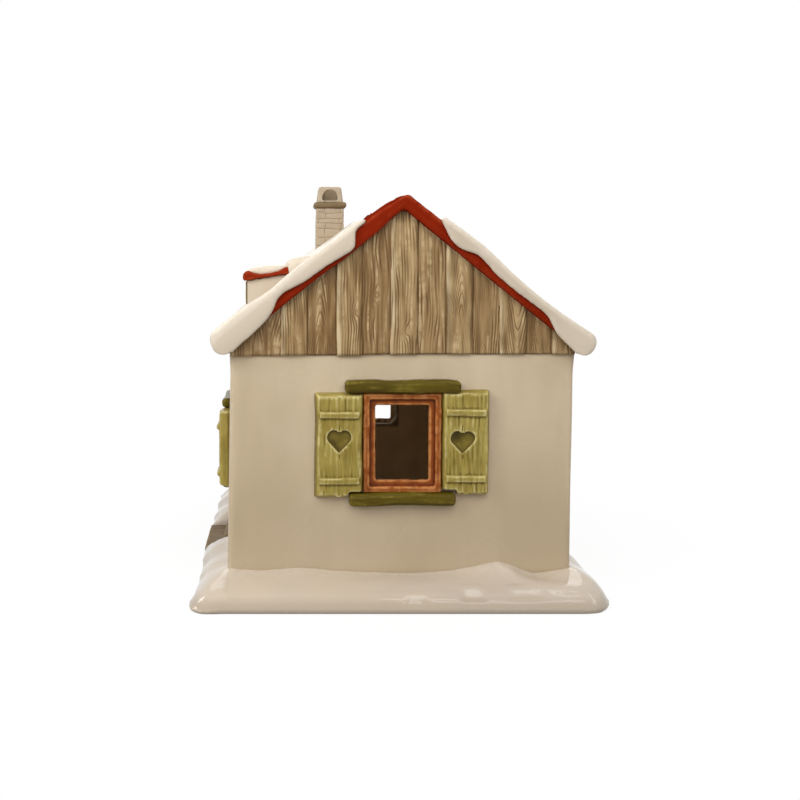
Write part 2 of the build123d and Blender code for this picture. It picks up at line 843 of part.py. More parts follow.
nodes = {
    "snow_base": snow_base(),
    "path_slab": path_slab(),
    "doorstep": doorstep(),
    "door_leaf": door_leaf(),
    "door_frame": door_frame(),
    "door_knob": door_knob(),
    "right_gable_wall": gable_wall("right"),
    "left_gable_wall": gable_wall("left"),
    "front_wall": long_wall("front"),
    "back_wall": long_wall("back"),
    "right_gable_boards": gable_boards("right"),
    "left_gable_boards": gable_boards("left"),
    "roof_shell": roof_shell(),
    "roof_snow_front": roof_snow_front(),
    "roof_snow_back": roof_snow_back(),
    "dormer_body": dormer_body(),
    "dormer_roof": dormer_roof(),
    "dormer_snow": dormer_snow(),
    "dormer_window_frame": dormer_window_frame(),
    "dormer_shutters": dormer_shutters(),
    "chimney_stack": chimney_stack(),
    "chimney_collar": chimney_collar(),
    "chimney_cap": chimney_cap(),
}
for window, place in windows.items():
    for name, piece in window_pieces(*place).items():
        nodes[f"{window}_{name}"] = piece
for make in (light_housing, grip_ring, light_cover, cover_screws, circuit_board, led_lamp, light_diffuser, coin_cell,
             battery_lid, battery_contacts, switch_body, switch_slider):
    nodes[make.__name__] = house_turn * make()

os.makedirs("parts", exist_ok=True)
for name, piece in nodes.items():
    export_step(piece, f"parts/{name}.step")
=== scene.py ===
import math

import bpy
import numpy as np
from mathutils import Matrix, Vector


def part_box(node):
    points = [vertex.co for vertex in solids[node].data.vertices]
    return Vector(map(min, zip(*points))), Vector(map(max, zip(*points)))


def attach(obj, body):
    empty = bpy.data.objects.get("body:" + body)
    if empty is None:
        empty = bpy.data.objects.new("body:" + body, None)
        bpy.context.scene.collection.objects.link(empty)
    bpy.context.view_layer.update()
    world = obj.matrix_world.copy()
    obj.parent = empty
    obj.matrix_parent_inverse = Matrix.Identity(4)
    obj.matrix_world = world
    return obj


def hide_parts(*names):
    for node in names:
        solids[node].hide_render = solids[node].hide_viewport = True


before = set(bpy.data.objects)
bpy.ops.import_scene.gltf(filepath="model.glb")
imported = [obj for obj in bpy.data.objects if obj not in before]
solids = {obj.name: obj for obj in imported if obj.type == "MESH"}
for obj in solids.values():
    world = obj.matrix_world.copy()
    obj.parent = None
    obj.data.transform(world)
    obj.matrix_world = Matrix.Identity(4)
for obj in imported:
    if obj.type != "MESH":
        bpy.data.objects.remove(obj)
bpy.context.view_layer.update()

mm = 0.001
wallLow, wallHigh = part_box("right_gable_wall")
houseX = (wallLow.x + wallHigh.x) / 2 / mm   # the walls stand off the middle of the base
halfWide = (wallHigh.x - wallLow.x) / 2 / mm
halfDeep = -wallLow.y / mm
roofTop = 143.02   # top of the ridge
roofTan = 0.8017   # fall of the slopes
roofCos = math.cos(math.atan(roofTan))
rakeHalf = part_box("roof_shell")[1].y / mm
# each window and the wall it is in
windows = {"right_gable": "right", "left_gable": "left", "front_right": "front", "front_left": "front",
           "back": "back"}
# the way along each wall, the way out from it, and how far out it stands
wallWays = {"right": ((1, 0), (0, -1), halfDeep), "left": ((-1, 0), (0, 1), halfDeep),
            "front": ((0, -1), (-1, 0), halfWide), "back": ((0, 1), (1, 0), halfWide)}
print("frame loaded:", len(solids), "solids")


# small tools; all lengths here are millimetres

def ease(low, high, value):   # 0 at low, 1 at high, smooth between
    t = np.clip((value - low) / (high - low), 0, 1)
    return t * t * (3 - 2 * t)


def bell(off, width):   # 1 at 0, fading to both sides
    return np.exp(-(off / width) ** 2)


def follow(rows, value):   # reads a table of places and values
    return np.interp(value, *zip(*rows))


def gridRandom(i, j, k, seed):
    n = (i * 374761393 + j * 668265263 + k * 1440662683 + seed * 1013904223) & 0xffffffff
    n = ((n ^ (n >> 13)) * 1274126177) & 0xffffffff
    return ((n ^ (n >> 16)) & 0xffff) / 32767.5 - 1


def lumps(points, size, seed):   # smooth random lumps from -1 to 1
    cell = points / np.asarray(size, float)
    base = np.floor(cell).astype(np.int64)
    t = cell - base
    t = t * t * t * (t * (t * 6 - 15) + 10)
    total = np.zeros(len(points))
    for corner in range(8):
        bit = np.array([corner & 1, corner >> 1 & 1, corner >> 2 & 1])
        total += np.prod(np.where(bit, t, 1 - t), axis=1) * gridRandom(*(base + bit).T, seed)
    return total


def sheetLumps(u, z, size, seed):   # the same on a flat sheet
    flat = np.stack([u.ravel(), z.ravel(), np.zeros(u.size)], 1)
    return lumps(flat, (*size, 1), seed).reshape(u.shape)


def readAll(rows, name, width, kind=np.float32):
    flat = np.empty(len(rows) * width, kind)
    rows.foreach_get(name, flat)
    return flat.reshape(-1, width)


def readPoints(obj):
    return readAll(obj.data.vertices, "co", 3).astype(float) / mm


def readNormals(obj):
    return readAll(obj.data.vertex_normals, "vector", 3).astype(float)


def readEdges(obj):
    return readAll(obj.data.edges, "vertices", 2, np.int32).T


def writePoints(obj, points):
    obj.data.vertices.foreach_set("co", (points * mm).astype(np.float32).ravel())
    obj.data.update()


def paint(obj, name, values):
    layer = obj.data.attributes.get(name) or obj.data.attributes.new(name, "FLOAT", "POINT")
    layer.data.foreach_set("value", np.asarray(values, np.float32))


def meanAround(obj, values):   # mean over each point's neighbours
    a, b = readEdges(obj)
    size = len(values)
    count = np.maximum(np.bincount(a, minlength=size) + np.bincount(b, minlength=size), 1)
    return (np.bincount(a, values[b], size) + np.bincount(b, values[a], size)) / count


def spread(obj, values, rounds):   # blurs a value over the mesh
    for step in range(rounds):
        values = 0.5 * values + 0.5 * meanAround(obj, values)
    return values


def readRelief(obj, rounds, gain=1.0):   # above 0 on edges, below 0 in hollows
    points, (a, b) = readPoints(obj), readEdges(obj)
    around = np.stack([meanAround(obj, column) for column in points.T], 1)
    bend = ((points - around) * readNormals(obj)).sum(1)
    length = np.linalg.norm(points[a] - points[b], axis=1).mean()
    return spread(obj, gain * bend / length, rounds)


def newPiece(name, points, faces):
    mesh = bpy.data.meshes.new(name)
    mesh.from_pydata((np.asarray(points) * mm).tolist(), [], np.asarray(faces).tolist())
    obj = bpy.data.objects.new(name, mesh)
    bpy.context.scene.collection.objects.link(obj)
    return obj


def bakeModifiers(obj):
    shaped = obj.evaluated_get(bpy.context.evaluated_depsgraph_get())
    mesh = bpy.data.meshes.new_from_object(shaped)
    old = obj.data
    obj.modifiers.clear()
    obj.data = mesh
    bpy.data.meshes.remove(old)
    mesh.shade_smooth()


def softCast(name, nodeNames, look):   # the solids as one soft casting, its points and normals
    points, faces, start = [], [], 0
    for node in nodeNames:
        mesh = solids[node].data
        points.append(readPoints(solids[node]))
        faces.append(readAll(mesh.loops, "vertex_index", 1, np.int32).reshape(-1, 3) + start)
        start += len(mesh.vertices)
    obj = newPiece(name, np.concatenate(points), np.concatenate(faces))
    remesh = obj.modifiers.new("cast", "REMESH")
    remesh.mode = "VOXEL"
    remesh.voxel_size = look["voxel"] * mm
    soften = obj.modifiers.new("soften", "SMOOTH")
    soften.factor = 0.5
    soften.iterations = look["rounds"]
    bakeModifiers(obj)
    return obj, readPoints(obj), readNormals(obj)


def setPiece(obj, nodeNames, slotName, material, **layers):
    for layer, values in layers.items():
        paint(obj, layer, values)
    obj.data.materials.clear()
    obj.data.materials.append(material)
    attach(obj, "house")
    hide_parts(*nodeNames)


def roughen(points, normals, look, seed):
    points += normals * (look["lump"] * lumps(points, look["lumpSize"], seed))[:, None]


def simpleCasting(name, node, look, slotName, material, seed):
    obj, points, normals = softCast(name, [node], look)
    roughen(points, normals, look, seed)
    writePoints(obj, points)
    setPiece(obj, [node], slotName, material, relief=readRelief(obj, 1))
    return obj


def turnToWall(ways, wall):   # along the wall, out from it, up
    x, y, z = ways.T
    (alongX, alongY), (outX, outY), _ = wallWays[wall]
    return np.stack([alongX * x + alongY * y, outX * x + outY * y, z], 1)


def toWall(points, wall):
    return turnToWall(points - (houseX, 0, 0), wall) - (0, wallWays[wall][2], 0)


def fromWall(local, wall):
    (alongX, alongY), (outX, outY), away = wallWays[wall]
    u, out, z = (local + (0, away, 0)).T
    return np.stack([alongX * u + outX * out + houseX, alongY * u + outY * out, z], 1)


def wallBox(node, wall):
    corners = toWall(np.array([list(corner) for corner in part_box(node)]) / mm, wall)
    return corners.min(0), corners.max(0)


def boxGap(u, z, low, high):   # how far a place on a wall is from a box there
    sideways = np.maximum(np.maximum(low[0] - u, u - high[0]), 0)
    return np.hypot(sideways, np.maximum(np.maximum(low[2] - z, z - high[2]), 0))


def moveHole(points, node, wall, cover, near):   # the hole ends out of sight behind its frame
    local = toWall(points, wall)
    low, high = wallBox(node, wall)
    mid, half = (low + high) / 2, (high - low) / 2 * (1 - cover)
    off = local - mid
    toSide, toTop = half[0] - abs(off[:, 0]), half[2] - abs(off[:, 2])
    inside, sideways = (toSide > 0) & (toTop > 0) & near, toSide < toTop
    local[:, 0] = np.where(inside & sideways, mid[0] + np.sign(off[:, 0]) * half[0], local[:, 0])
    local[:, 2] = np.where(inside & ~sideways, mid[2] + np.sign(off[:, 2]) * half[2], local[:, 2])
    edge = np.maximum(abs(local[:, 0] - mid[0]) - half[0], abs(local[:, 2] - mid[2]) - half[2])
    return np.where(inside[:, None], fromWall(local, wall), points), local, edge


# glazes

def tone(r, g, b):   # a screen colour, 0 to 255
    shares = (r / 255, g / 255, b / 255)
    return (*[c / 12.92 if c <= 0.04045 else ((c + 0.055) / 1.055) ** 2.4 for c in shares], 1)


def setInputs(tree, node, links):
    for socket, source in links.items():
        if isinstance(source, bpy.types.NodeSocket):
            tree.links.new(source, node.inputs[socket])
        else:
            node.inputs[socket].default_value = source


def addNode(tree, kind, links=None, **settings):
    node = tree.nodes.new("ShaderNode" + kind)
    for name, value in settings.items():
        setattr(node, name, value)
    setInputs(tree, node, links or {})
    return node


def mixColour(tree, factor, first, second):
    return addNode(tree, "Mix", {0: factor, 6: first, 7: second}, data_type="RGBA").outputs[2]


def ramp(tree, value, low, high, start=0.0, end=1.0):   # start at low, end at high
    node = addNode(tree, "MapRange", {"Value": value, "From Min": low, "From Max": high,
                                      "To Min": start, "To Max": end})
    return node.outputs["Result"]


def times(tree, first, second):
    return addNode(tree, "Math", {0: first, 1: second}, operation="MULTIPLY").outputs[0]


def noise(tree, place, scale, detail):
    return addNode(tree, "TexNoise", {"Vector": place, "Scale": scale, "Detail": detail}).outputs["Fac"]


def makeGlazePaint():   # brushed glaze: thin and pale on edges, pooled in hollows
    group = bpy.data.node_groups.new("glazePaint", "ShaderNodeTree")
    for way, kind, labels in (
            ("INPUT", "Color", ("Glaze", "Second", "Thin", "Pool")),
            ("INPUT", "Float", ("Thin Amount", "Pool Amount", "Cloud Scale", "Cloud Amount", "Brush Amount",
                                "Rough Low", "Rough High")),
            ("INPUT", "Vector", ("Brush Stretch",)),
            ("OUTPUT", "Color", ("Color",)),
            ("OUTPUT", "Float", ("Roughness", "Height"))):
        for label in labels:
            group.interface.new_socket(name=label, in_out=way, socket_type="NodeSocket" + kind)
    put = group.nodes.new("NodeGroupInput").outputs
    place = addNode(group, "TexCoord").outputs["Object"]
    relief = addNode(group, "Attribute", attribute_name="relief").outputs["Fac"]
    cloud = noise(group, place, put["Cloud Scale"], 3.0)
    stretched = addNode(group, "VectorMath", {0: place, 1: put["Brush Stretch"]}, operation="MULTIPLY")
    brush = noise(group, stretched.outputs[0], 1.0, 3.0)
    speck = noise(group, place, 420.0, 2.0)
    cloudMask = times(group, ramp(group, cloud, 0.38, 0.64), put["Cloud Amount"])
    colour = mixColour(group, cloudMask, put["Glaze"], put["Second"])
    brushMask = times(group, ramp(group, brush, 0.46, 0.72), put["Brush Amount"])
    colour = mixColour(group, brushMask, colour, put["Pool"])
    poolMask = times(group, ramp(group, relief, -0.015, -0.13), put["Pool Amount"])
    colour = mixColour(group, poolMask, colour, put["Pool"])
    broken = times(group, ramp(group, relief, 0.025, 0.15), ramp(group, speck, 0.3, 0.58))
    colour = mixColour(group, times(group, broken, put["Thin Amount"]), colour, put["Thin"])
    rough = ramp(group, cloud, 0.3, 0.7, put["Rough Low"], put["Rough High"])
    out = group.nodes.new("NodeGroupOutput")
    setInputs(group, out, {"Color": colour, "Roughness": rough, "Height": brush})
    return group


glazePaint = makeGlazePaint()


def newMaterial(name):
    material = bpy.data.materials.new(name)
    material.use_nodes = True
    return material, material.node_tree, material.node_tree.nodes["Principled BSDF"]


def bumped(tree, height, strength, distance):
    bump = addNode(tree, "Bump", {"Height": height, "Strength": strength, "Distance": distance})
    return bump.outputs["Normal"]


def glaze(name, colour, second, thin, pool, tint=None, extra=None, thinAmount=0.6, poolAmount=0.6,
          cloud=(40, 0.5), stretch=(900, 900, 60), brush=0.15, rough=(0.3, 0.45), shine=0.25, bump=0.05,
          matteExtra=False):
    material, tree, shader = newMaterial(name)
    base = tone(*colour)
    for layer, shade in (("tint", tint), ("extra", extra)):
        if shade:
            mask = addNode(tree, "Attribute", attribute_name=layer).outputs["Fac"]
            base = mixColour(tree, mask, base, tone(*shade))
    coated = addNode(tree, "Group", {
        "Glaze": base, "Second": tone(*second), "Thin": tone(*thin), "Pool": tone(*pool),
        "Thin Amount": thinAmount, "Pool Amount": poolAmount, "Cloud Scale": cloud[0],
        "Cloud Amount": cloud[1], "Brush Stretch": stretch, "Brush Amount": brush,
        "Rough Low": rough[0], "Rough High": rough[1],
    }, node_tree=glazePaint)
    setInputs(tree, shader, {
        "Base Color": coated.outputs["Color"], "Roughness": coated.outputs["Roughness"],
        "Specular IOR Level": ramp(tree, mask, 0.0, 1.0, shine, 0.0) if matteExtra else shine,
        "Normal": bumped(tree, coated.outputs["Height"], bump, 0.3 * mm),
    })
    return material


def plain(name, colour, roughness, metallic=0.0, grainScale=600.0, grain=0.05, **extra):
    material, tree, shader = newMaterial(name)
    speck = noise(tree, addNode(tree, "TexCoord").outputs["Object"], grainScale, 4.0)
    dull = tuple(c * 0.82 for c in tone(*colour)[:3]) + (1,)
    setInputs(tree, shader, {
        "Base Color": mixColour(tree, ramp(tree, speck, 0.35, 0.7), tone(*colour), dull),
        "Roughness": ramp(tree, speck, 0.3, 0.7, roughness * 0.85, roughness * 1.15), "Metallic": metallic,
        "Normal": bumped(tree, speck, grain, 0.2 * mm),
        **{socket.replace("_", " "): value for socket, value in extra.items()},
    })
    return material


bareClay = (240, 220, 186)   # the unglazed inside
# its extra colour is painted shade in the reveals of the window holes
wallGlaze = glaze("wallGlaze", (208, 190, 162), (195, 176, 146), (221, 205, 181), (165, 147, 118),
                  tint=bareClay, extra=(30, 20, 9), matteExtra=True, thinAmount=0.55, poolAmount=0.4,
                  cloud=(24, 0.75), stretch=(120, 120, 26), brush=0.14, rough=(0.22, 0.34))
dormerGlaze = glaze("dormerGlaze", (206, 192, 172), (198, 183, 160), (217, 205, 187), (172, 154, 127),
                    tint=bareClay, thinAmount=0.4, poolAmount=0.4, cloud=(40, 0.6),
                    stretch=(160, 160, 60), brush=0.1, rough=(0.18, 0.3), shine=0.3)
# its tint is painted shade on the end faces of the roof snow
snowGlaze = glaze("snowGlaze", (220, 207, 188), (211, 197, 177), (230, 219, 202), (194, 179, 157),
                  tint=(194, 179, 157), thinAmount=0.55, poolAmount=0.5, cloud=(34, 0.6),
                  stretch=(60, 60, 60), brush=0.06, rough=(0.2, 0.3), shine=0.35, bump=0.02)
groundGlaze = glaze("groundGlaze", (199, 184, 164), (191, 178, 165), (219, 206, 188), (164, 148, 127),
                    tint=(186, 170, 148), thinAmount=0.5, poolAmount=0.65, cloud=(30, 0.7),
                    stretch=(60, 60, 60), brush=0.08, rough=(0.04, 0.08), shine=0.4, bump=0.0)
redGlaze = glaze("redGlaze", (139, 38, 15), (120, 29, 9), (172, 74, 44), (80, 15, 4), tint=bareClay,
                 cloud=(60, 0.7), stretch=(160, 160, 160), brush=0.2, rough=(0.4, 0.5), shine=0.0)
# its extra colour is the pale edges: painted highlight on the raised boards' left edges, and a pale line
# under the roof
boardGlaze = glaze("boardGlaze", (134, 103, 64), (150, 121, 82), (208, 184, 142), (92, 65, 30),
                   tint=(183, 156, 112), extra=(218, 198, 160), thinAmount=0.75, poolAmount=0.8,
                   cloud=(110, 0.6), stretch=(620, 620, 46), brush=0.45, rough=(0.3, 0.44), bump=0.15)
logGlaze = glaze("logGlaze", (94, 80, 12), (76, 62, 6), (156, 138, 52), (48, 38, 3), thinAmount=0.55,
                 cloud=(90, 0.7), stretch=(60, 60, 700), brush=0.35, rough=(0.22, 0.34), shine=0.14)
shutterGlaze = glaze("shutterGlaze", (168, 150, 78), (140, 121, 52), (216, 204, 146), (90, 75, 22),
                     tint=(55, 47, 1), thinAmount=0.75, poolAmount=0.85, cloud=(120, 0.75),
                     stretch=(640, 640, 90), brush=0.4, rough=(0.26, 0.4), shine=0.18, bump=0.12)
frameGlaze = glaze("frameGlaze", (146, 74, 22), (116, 52, 11), (214, 148, 88), (82, 31, 4),
                   tint=bareClay, poolAmount=0.8, cloud=(330, 0.7), stretch=(420, 420, 260),
                   brush=0.4, rough=(0.24, 0.38), shine=0.16, bump=0.12)
stoneGlaze = glaze("stoneGlaze", (129, 110, 82), (117, 98, 71), (164, 145, 115), (86, 70, 47),
                   tint=(112, 93, 66), cloud=(120, 0.5), stretch=(300, 300, 300), rough=(0.52, 0.62),
                   shine=0.1)
chimneyGlaze = glaze("chimneyGlaze", (188, 171, 146), (177, 159, 132), (206, 192, 170), (132, 113, 86),
                     tint=(62, 49, 14), thinAmount=0.4, poolAmount=0.7, cloud=(90, 0.5),
                     stretch=(300, 300, 300), brush=0.12)
brassGlaze = glaze("brassGlaze", (150, 112, 48), (128, 92, 34), (200, 165, 95), (90, 62, 20),
                   rough=(0.2, 0.3), shine=0.5)
print("glazes mixed")


# walls: one casting with soft corners

wallLook = dict(voxel=1.1, rounds=7, lumpSize=34, lump=0.14, insideDepth=2.2, lean=1.6, leanTop=88, flare=0.6,
                cover=0.14, holeDeep=7, halo=2.6, haloGlaze=0.09, shade=0.16, endShade=0.05, sink=2.0)


def makeWalls():
    look = wallLook
    names = ["right_gable_wall", "left_gable_wall", "front_wall", "back_wall"]
    obj, points, normals = softCast("castWalls", names, look)
    roughen(points, normals, look, 11)
    x, y, z = points.T   # a change to these moves the points
    foot = z.min()
    z -= look["sink"] * ease(foot + 1, foot, z)   # the foot stands in the snow
    atFront = ease(halfWide - 6, halfWide, houseX - x)
    x -= look["lean"] * atFront * np.clip(1 - z / look["leanTop"], 0, 1)
    corner = ease(halfWide - 5, halfWide, abs(x - houseX)) * ease(78, 89, z)
    x += look["flare"] * corner * np.sign(x - houseX)
    halo, revealShade = np.zeros(len(points)), np.zeros(len(points))
    for window, wall in windows.items():
        near = abs(toWall(points, wall)[:, 1]) < look["holeDeep"]
        points, local, edge = moveHole(points, window + "_window_frame", wall, look["cover"], near)
        u, out, z = local.T
        # each hole's inner sides are painted in shade
        revealShade = np.maximum(revealShade, ease(1.8, 0.6, edge) * (out < 0.6) * (out > -look["holeDeep"]))
        for part in ("lintel", "sill", "left_shutter", "right_shutter"):
            gap = boxGap(u, z, *wallBox(f"{window}_{part}", wall))
            halo = np.maximum(halo, bell(gap, look["halo"]) * (abs(out) < 2))
    writePoints(obj, points)
    x, y, z = points.T
    depth = np.minimum(halfWide - abs(x - houseX), halfDeep - abs(y))
    indoors = ease(look["insideDepth"], look["insideDepth"] + 1.4, depth)
    # painted shade: darker low down, and at the ends of the gables
    shade = look["shade"] * ease(58, 12, z)
    shade += look["endShade"] * ease(20, 50, abs(x - houseX)) * ease(halfDeep - 2, halfDeep - 1, abs(y))
    relief = (readRelief(obj, 3, 1.6) + look["haloGlaze"] * halo - shade) * (1 - indoors)
    setPiece(obj, names, "glazed_wall", wallGlaze, tint=indoors, extra=revealShade, relief=relief)


makeWalls()
print("walls cast")


# snow base

baseLow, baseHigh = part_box("snow_base")
baseLook = dict(voxel=0.8, rounds=10, foot=1.5, mean=9.2, corner=2.7, swell=0.35, swellSize=19, stretch=2.4,
                drift=0.9, flatFall=15.6, front=(wallLow.x - baseLow.x) / mm,
                back=(baseHigh.x - wallHigh.x) / mm, end=(wallLow.y - baseLow.y) / mm,
                holeRadius=23.06, holeReach=25, holeTop=8.5, seat=2.02, underside=2.7)
# fall of the snow from the walls to the edge
slope = [(0, 1), (0.15, 0.955), (0.3, 0.885), (0.45, 0.79), (0.6, 0.675), (0.72, 0.555), (0.84, 0.375),
         (0.93, 0.2), (1, 0)]
# height of the snow along the foot of the right gable
gableSnow = [(-62, 9.7), (-55, 9.1), (-48, 8.9), (-43, 9.4), (-36, 9.9), (-30, 9.5), (-24, 8.8), (-15, 8.4),
             (0, 7.9), (8, 8.1), (18, 8.9), (25, 10.2), (29, 11), (35, 11.7), (39, 11), (43, 9.2), (47, 7.9),
             (50, 8.1), (55, 8.9), (60, 9.7)]
# a drift that curls from the right gable to the corner: its place across the slope
driftLine = [(28, 0.05), (35, 0.16), (40, 0.4), (47, 0.58), (55, 0.65), (64, 0.66)]
# dents in the front edge, and humps in the front and back slopes, along the house
frontDents = [(-83, 0), (-78, -0.2), (-69, 1.0), (-58, 1.6), (-50.5, 1.3), (-40, 1.5), (-30, 0.6), (-22, 0.6),
              (-16, 0.4), (16, 0.4), (24, 0.9), (33, 0.2), (44, 1.2), (56, 0.2), (66, 1.0), (83, 0)]
frontHumps = [(-83, 0), (-76, 0.3), (-68, 0.15), (-58, -0.1), (-50.5, 0.2), (-41, -0.35), (-30, 0.5),
              (-22, 0.25), (-18, 0), (18, 0), (28, 0.7), (41, -0.6), (52, 0.65), (63, -0.5), (74, 0.3),
              (83, 0)]
backHumps = [(-83, 0.2), (-74, 0.6), (-64, 0.4), (-54, -0.4), (-42, 0.5), (-28, -0.2), (-12, 0.4), (6, -0.3),
             (22, 0.4), (40, -0.4), (56, 0.5), (70, -0.2), (83, 0.2)]
# flat places in the right end's slope: along the gable, across the slope, half their size each way, height
flatPlaces = [(3.8, 0.84, 2.6, 0.05, 4.3), (22.3, 0.7, 3.0, 0.09, 5.6), (40, 0.68, 4.0, 0.075, 5.9)]


def makeBase():
    look = baseLook
    obj, points, normals = softCast("snowBase", ["snow_base"], look)
    x, y, z = points[:, 0] - houseX, points[:, 1].copy(), points[:, 2].copy()
    acrossX = np.maximum(abs(x) - halfWide, 0) / np.where(x < 0, look["front"], look["back"])
    acrossY = np.maximum(abs(y) - halfDeep, 0) / look["end"]
    power = look["corner"]
    across = np.clip((acrossX ** power + acrossY ** power) ** (1 / power), 0, 1)   # 1 at the edge
    flat = points * (1, 1, 0)
    atGable = ease(-58, -65, y)
    elsewhere = look["mean"] + lumps(flat, 25, 5)
    atWall = follow(gableSnow, x) * atGable + elsewhere * (1 - atGable)
    high = look["mean"] + (atWall - look["mean"]) * (1 - ease(0, 0.6, across))
    pillow = look["foot"] + (high - look["foot"]) * follow(slope, across)
    onSide = ease(-0.2, 0.2, acrossX - acrossY)
    humps = np.where(x < 0, follow(frontHumps, y), follow(backHumps, y))
    swell = look["swell"] * lumps(flat, look["swellSize"], 7)
    pillow += np.sin(across * math.pi) * (humps * onSide + swell * (1 - onSide))
    off = across - follow(driftLine, x)
    drift = bell(off, np.where(off > 0, 0.1, 0.2)) * ease(27, 36, x) * (1 - ease(58, 66, x))
    pillow += look["drift"] * drift * atGable
    for along, where, halfAlong, halfAcross, level in flatPlaces:
        off = abs(x - along + 0.8 * lumps(flat, 5, 8))
        share = ease(halfAlong + 2, halfAlong, off) * atGable
        share = share * ease(halfAcross + 0.09, halfAcross, abs(across - where))
        pillow += share * (level - look["flatFall"] * (across - where) - pillow)
    gap = np.maximum(abs(x) - halfWide, abs(y) - halfDeep)   # how far a point stands outside the walls
    offPath = np.where(x < -halfWide, ease(17, 22, abs(y)), 1)
    share = (gap > -0.5) * ease(0.3, 1.4, z) * ease(-0.35, 0.1, normals[:, 2]) * offPath
    points[:, 2] += spread(obj, share * (pillow - z), 3)
    # the right end reaches a little further out, most of all at the front
    atCorner = ease(0.1, 0.9, acrossX) * ease(0.2, 0.9, acrossY)
    points[:, 1] -= (y < 0) * look["stretch"] * (ease(0, 1, acrossY) + np.where(x < 0, 0.8, 0) * atCorner)
    points[:, 0] += (x < 0) * follow(frontDents, y) * ease(0.1, 0.95, acrossX) - 0.7 * atCorner
    # the hole for the lamp and the seat of its rim stay true
    radius = np.hypot(x, y)
    snug = (radius < look["holeReach"]) & (z < look["holeTop"])
    push = np.where(snug, np.maximum(look["holeRadius"] / np.maximum(radius, 1), 1), 1)
    points[:, 0] = houseX + (points[:, 0] - houseX) * push
    points[:, 1] *= push
    below = z < look["underside"]
    points[:, 2] = np.maximum(points[:, 2], np.where(below & (gap < -5.2), look["seat"], 0))
    writePoints(obj, points)
    # painted light near the walls, painted shade towards the foot of the slope
    relief = readRelief(obj, 4, 0.8) - 0.14 * ease(0.72, 0.98, across) + 0.09 * ease(0.5, 0.1, across)
    setPiece(obj, ["snow_base"], "glazed_snow", groundGlaze,
             tint=below * ease(-0.55, -0.9, readNormals(obj)[:, 2]), relief=relief)


makeBase()
print("snow base cast")


# path and step: flagstones

pathLook = dict(voxel=0.45, rounds=3, stone=9.0, joint=0.5, depth=0.12, lump=0.12, lumpSize=4)


def makeStones(name, node, seed):
    look = pathLook
    obj, points, normals = softCast(name, [node], look)
    rng = np.random.default_rng(seed)
    low, high = points.min(0), points.max(0)
    count = max(4, int((high[0] - low[0]) * (high[1] - low[1]) / look["stone"] ** 2))
    seeds = rng.uniform(low[:2] - 2, high[:2] + 2, (count, 2))
    gaps = np.linalg.norm(points[:, None, :2] - seeds[None], axis=2)
    order = np.sort(gaps, axis=1)
    joint = bell(order[:, 1] - order[:, 0], 2 * look["joint"]) * ease(0.2, 0.7, normals[:, 2])
    points[:, 2] -= look["depth"] * joint
    roughen(points, normals, look, seed)
    points[:, 2] = np.maximum(points[:, 2], 0)
    writePoints(obj, points)
    setPiece(obj, [node], "stone_glaze", stoneGlaze, tint=rng.uniform(0, 1, count)[np.argmin(gaps, axis=1)],
             relief=readRelief(obj, 1) - 0.08 * joint)


makeStones("pathStones", "path_slab", 21)
makeStones("doorStep", "doorstep", 24)
print("path laid")


# roof, its snow, the dormer

roofLook = dict(voxel=0.85, rounds=2, sink=0.35, fall=1.5, lean=1.3, roll=0.6, lump=0.16, lumpSize=14,
                line=1.3, lineWidth=0.45, sag=0.9)


def makeRoof():
    look = roofLook
    obj, points, normals = softCast("roofCasting", ["roof_shell"], look)
    x, y, z = points[:, 0] - houseX, points[:, 1], points[:, 2]
    up = ease(0.2, 0.6, normals[:, 2])
    # the ridge falls towards the left gable and leans back a little at the right one
    sink = look["sink"] * bell(x + 12, 7) + 0.5 * bell(x, 5)
    sink += look["fall"] * ease(0, rakeHalf, y) * bell(x, 10)
    lean = look["lean"] * bell(x, 6) * ease(rakeHalf - 16, rakeHalf - 2, -y)
    roll = ease(rakeHalf - 12, rakeHalf - 2, abs(y)) * ease(2, 12, abs(x))
    points[:, 0] += up * lean
    z += up * (look["roll"] * roll - sink)
    roughen(points, normals, look, 31)
    lowEdge = ease(0.1, -0.4, normals[:, 2]) * ease(halfDeep, halfDeep + 1, -y)
    z -= look["sag"] * lowEdge * ease(-30, -20, x) * ease(-3, -9, x)   # left of the apex
    writePoints(obj, points)
    indoors = (abs(x) < halfWide - 3) & (abs(y) < halfDeep - 3)
    # the face of each rake: a painted highlight line, and painted shade below it
    face = ease(0.6, 0.85, abs(normals[:, 1]))
    off = (z - roofTop + abs(x) * roofTan) * roofCos
    off = off - np.percentile(off[face > 0.9], 2)
    line = bell(off - look["line"], look["lineWidth"])
    rakeFaceShade = ease(look["line"], look["line"] - 0.5, off)
    setPiece(obj, ["roof_shell"], "red_glaze", redGlaze, tint=indoors * ease(0.1, -0.3, normals[:, 2]),
             relief=readRelief(obj, 1, 0.9) + face * (0.06 * line - 0.07 * rakeFaceShade))


snowLook = dict(voxel=0.6, rounds=20, depth=2.2, lump=0.3, lumpSize=(15, 19, 60), press=0.5, hang=5.9,
                close=0.9, near=2.4, eaveWave=0.7)
# depth of the snow down each slope at the right gable
backDepth = [(10, 1.9), (16, 2.2), (21, 2.6), (27, 2.8), (32, 2.4), (38, 1.6), (45, 1.2), (50, 1.2),
             (55, 1.5), (60, 2.0), (65, 2.7), (70, 2.8)]
frontDepth = [(10, 1.8), (16, 1.9), (22, 2.1), (31, 2.55), (38, 2.9), (42, 2.75), (46, 2.45), (50, 2.85),
              (54, 3.5), (60, 3.75), (65, 3.7), (70, 3.6)]
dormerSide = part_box("dormer_body")[1].y / mm
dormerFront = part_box("dormer_body")[0].x / mm - houseX


def roundOff(reach, rise, radius):   # the share of reach and rise that a round end keeps
    past = np.maximum(np.hypot(np.maximum(reach, 0), rise) / radius, 1)
    return np.where(reach > 0, 1 / past, 1)


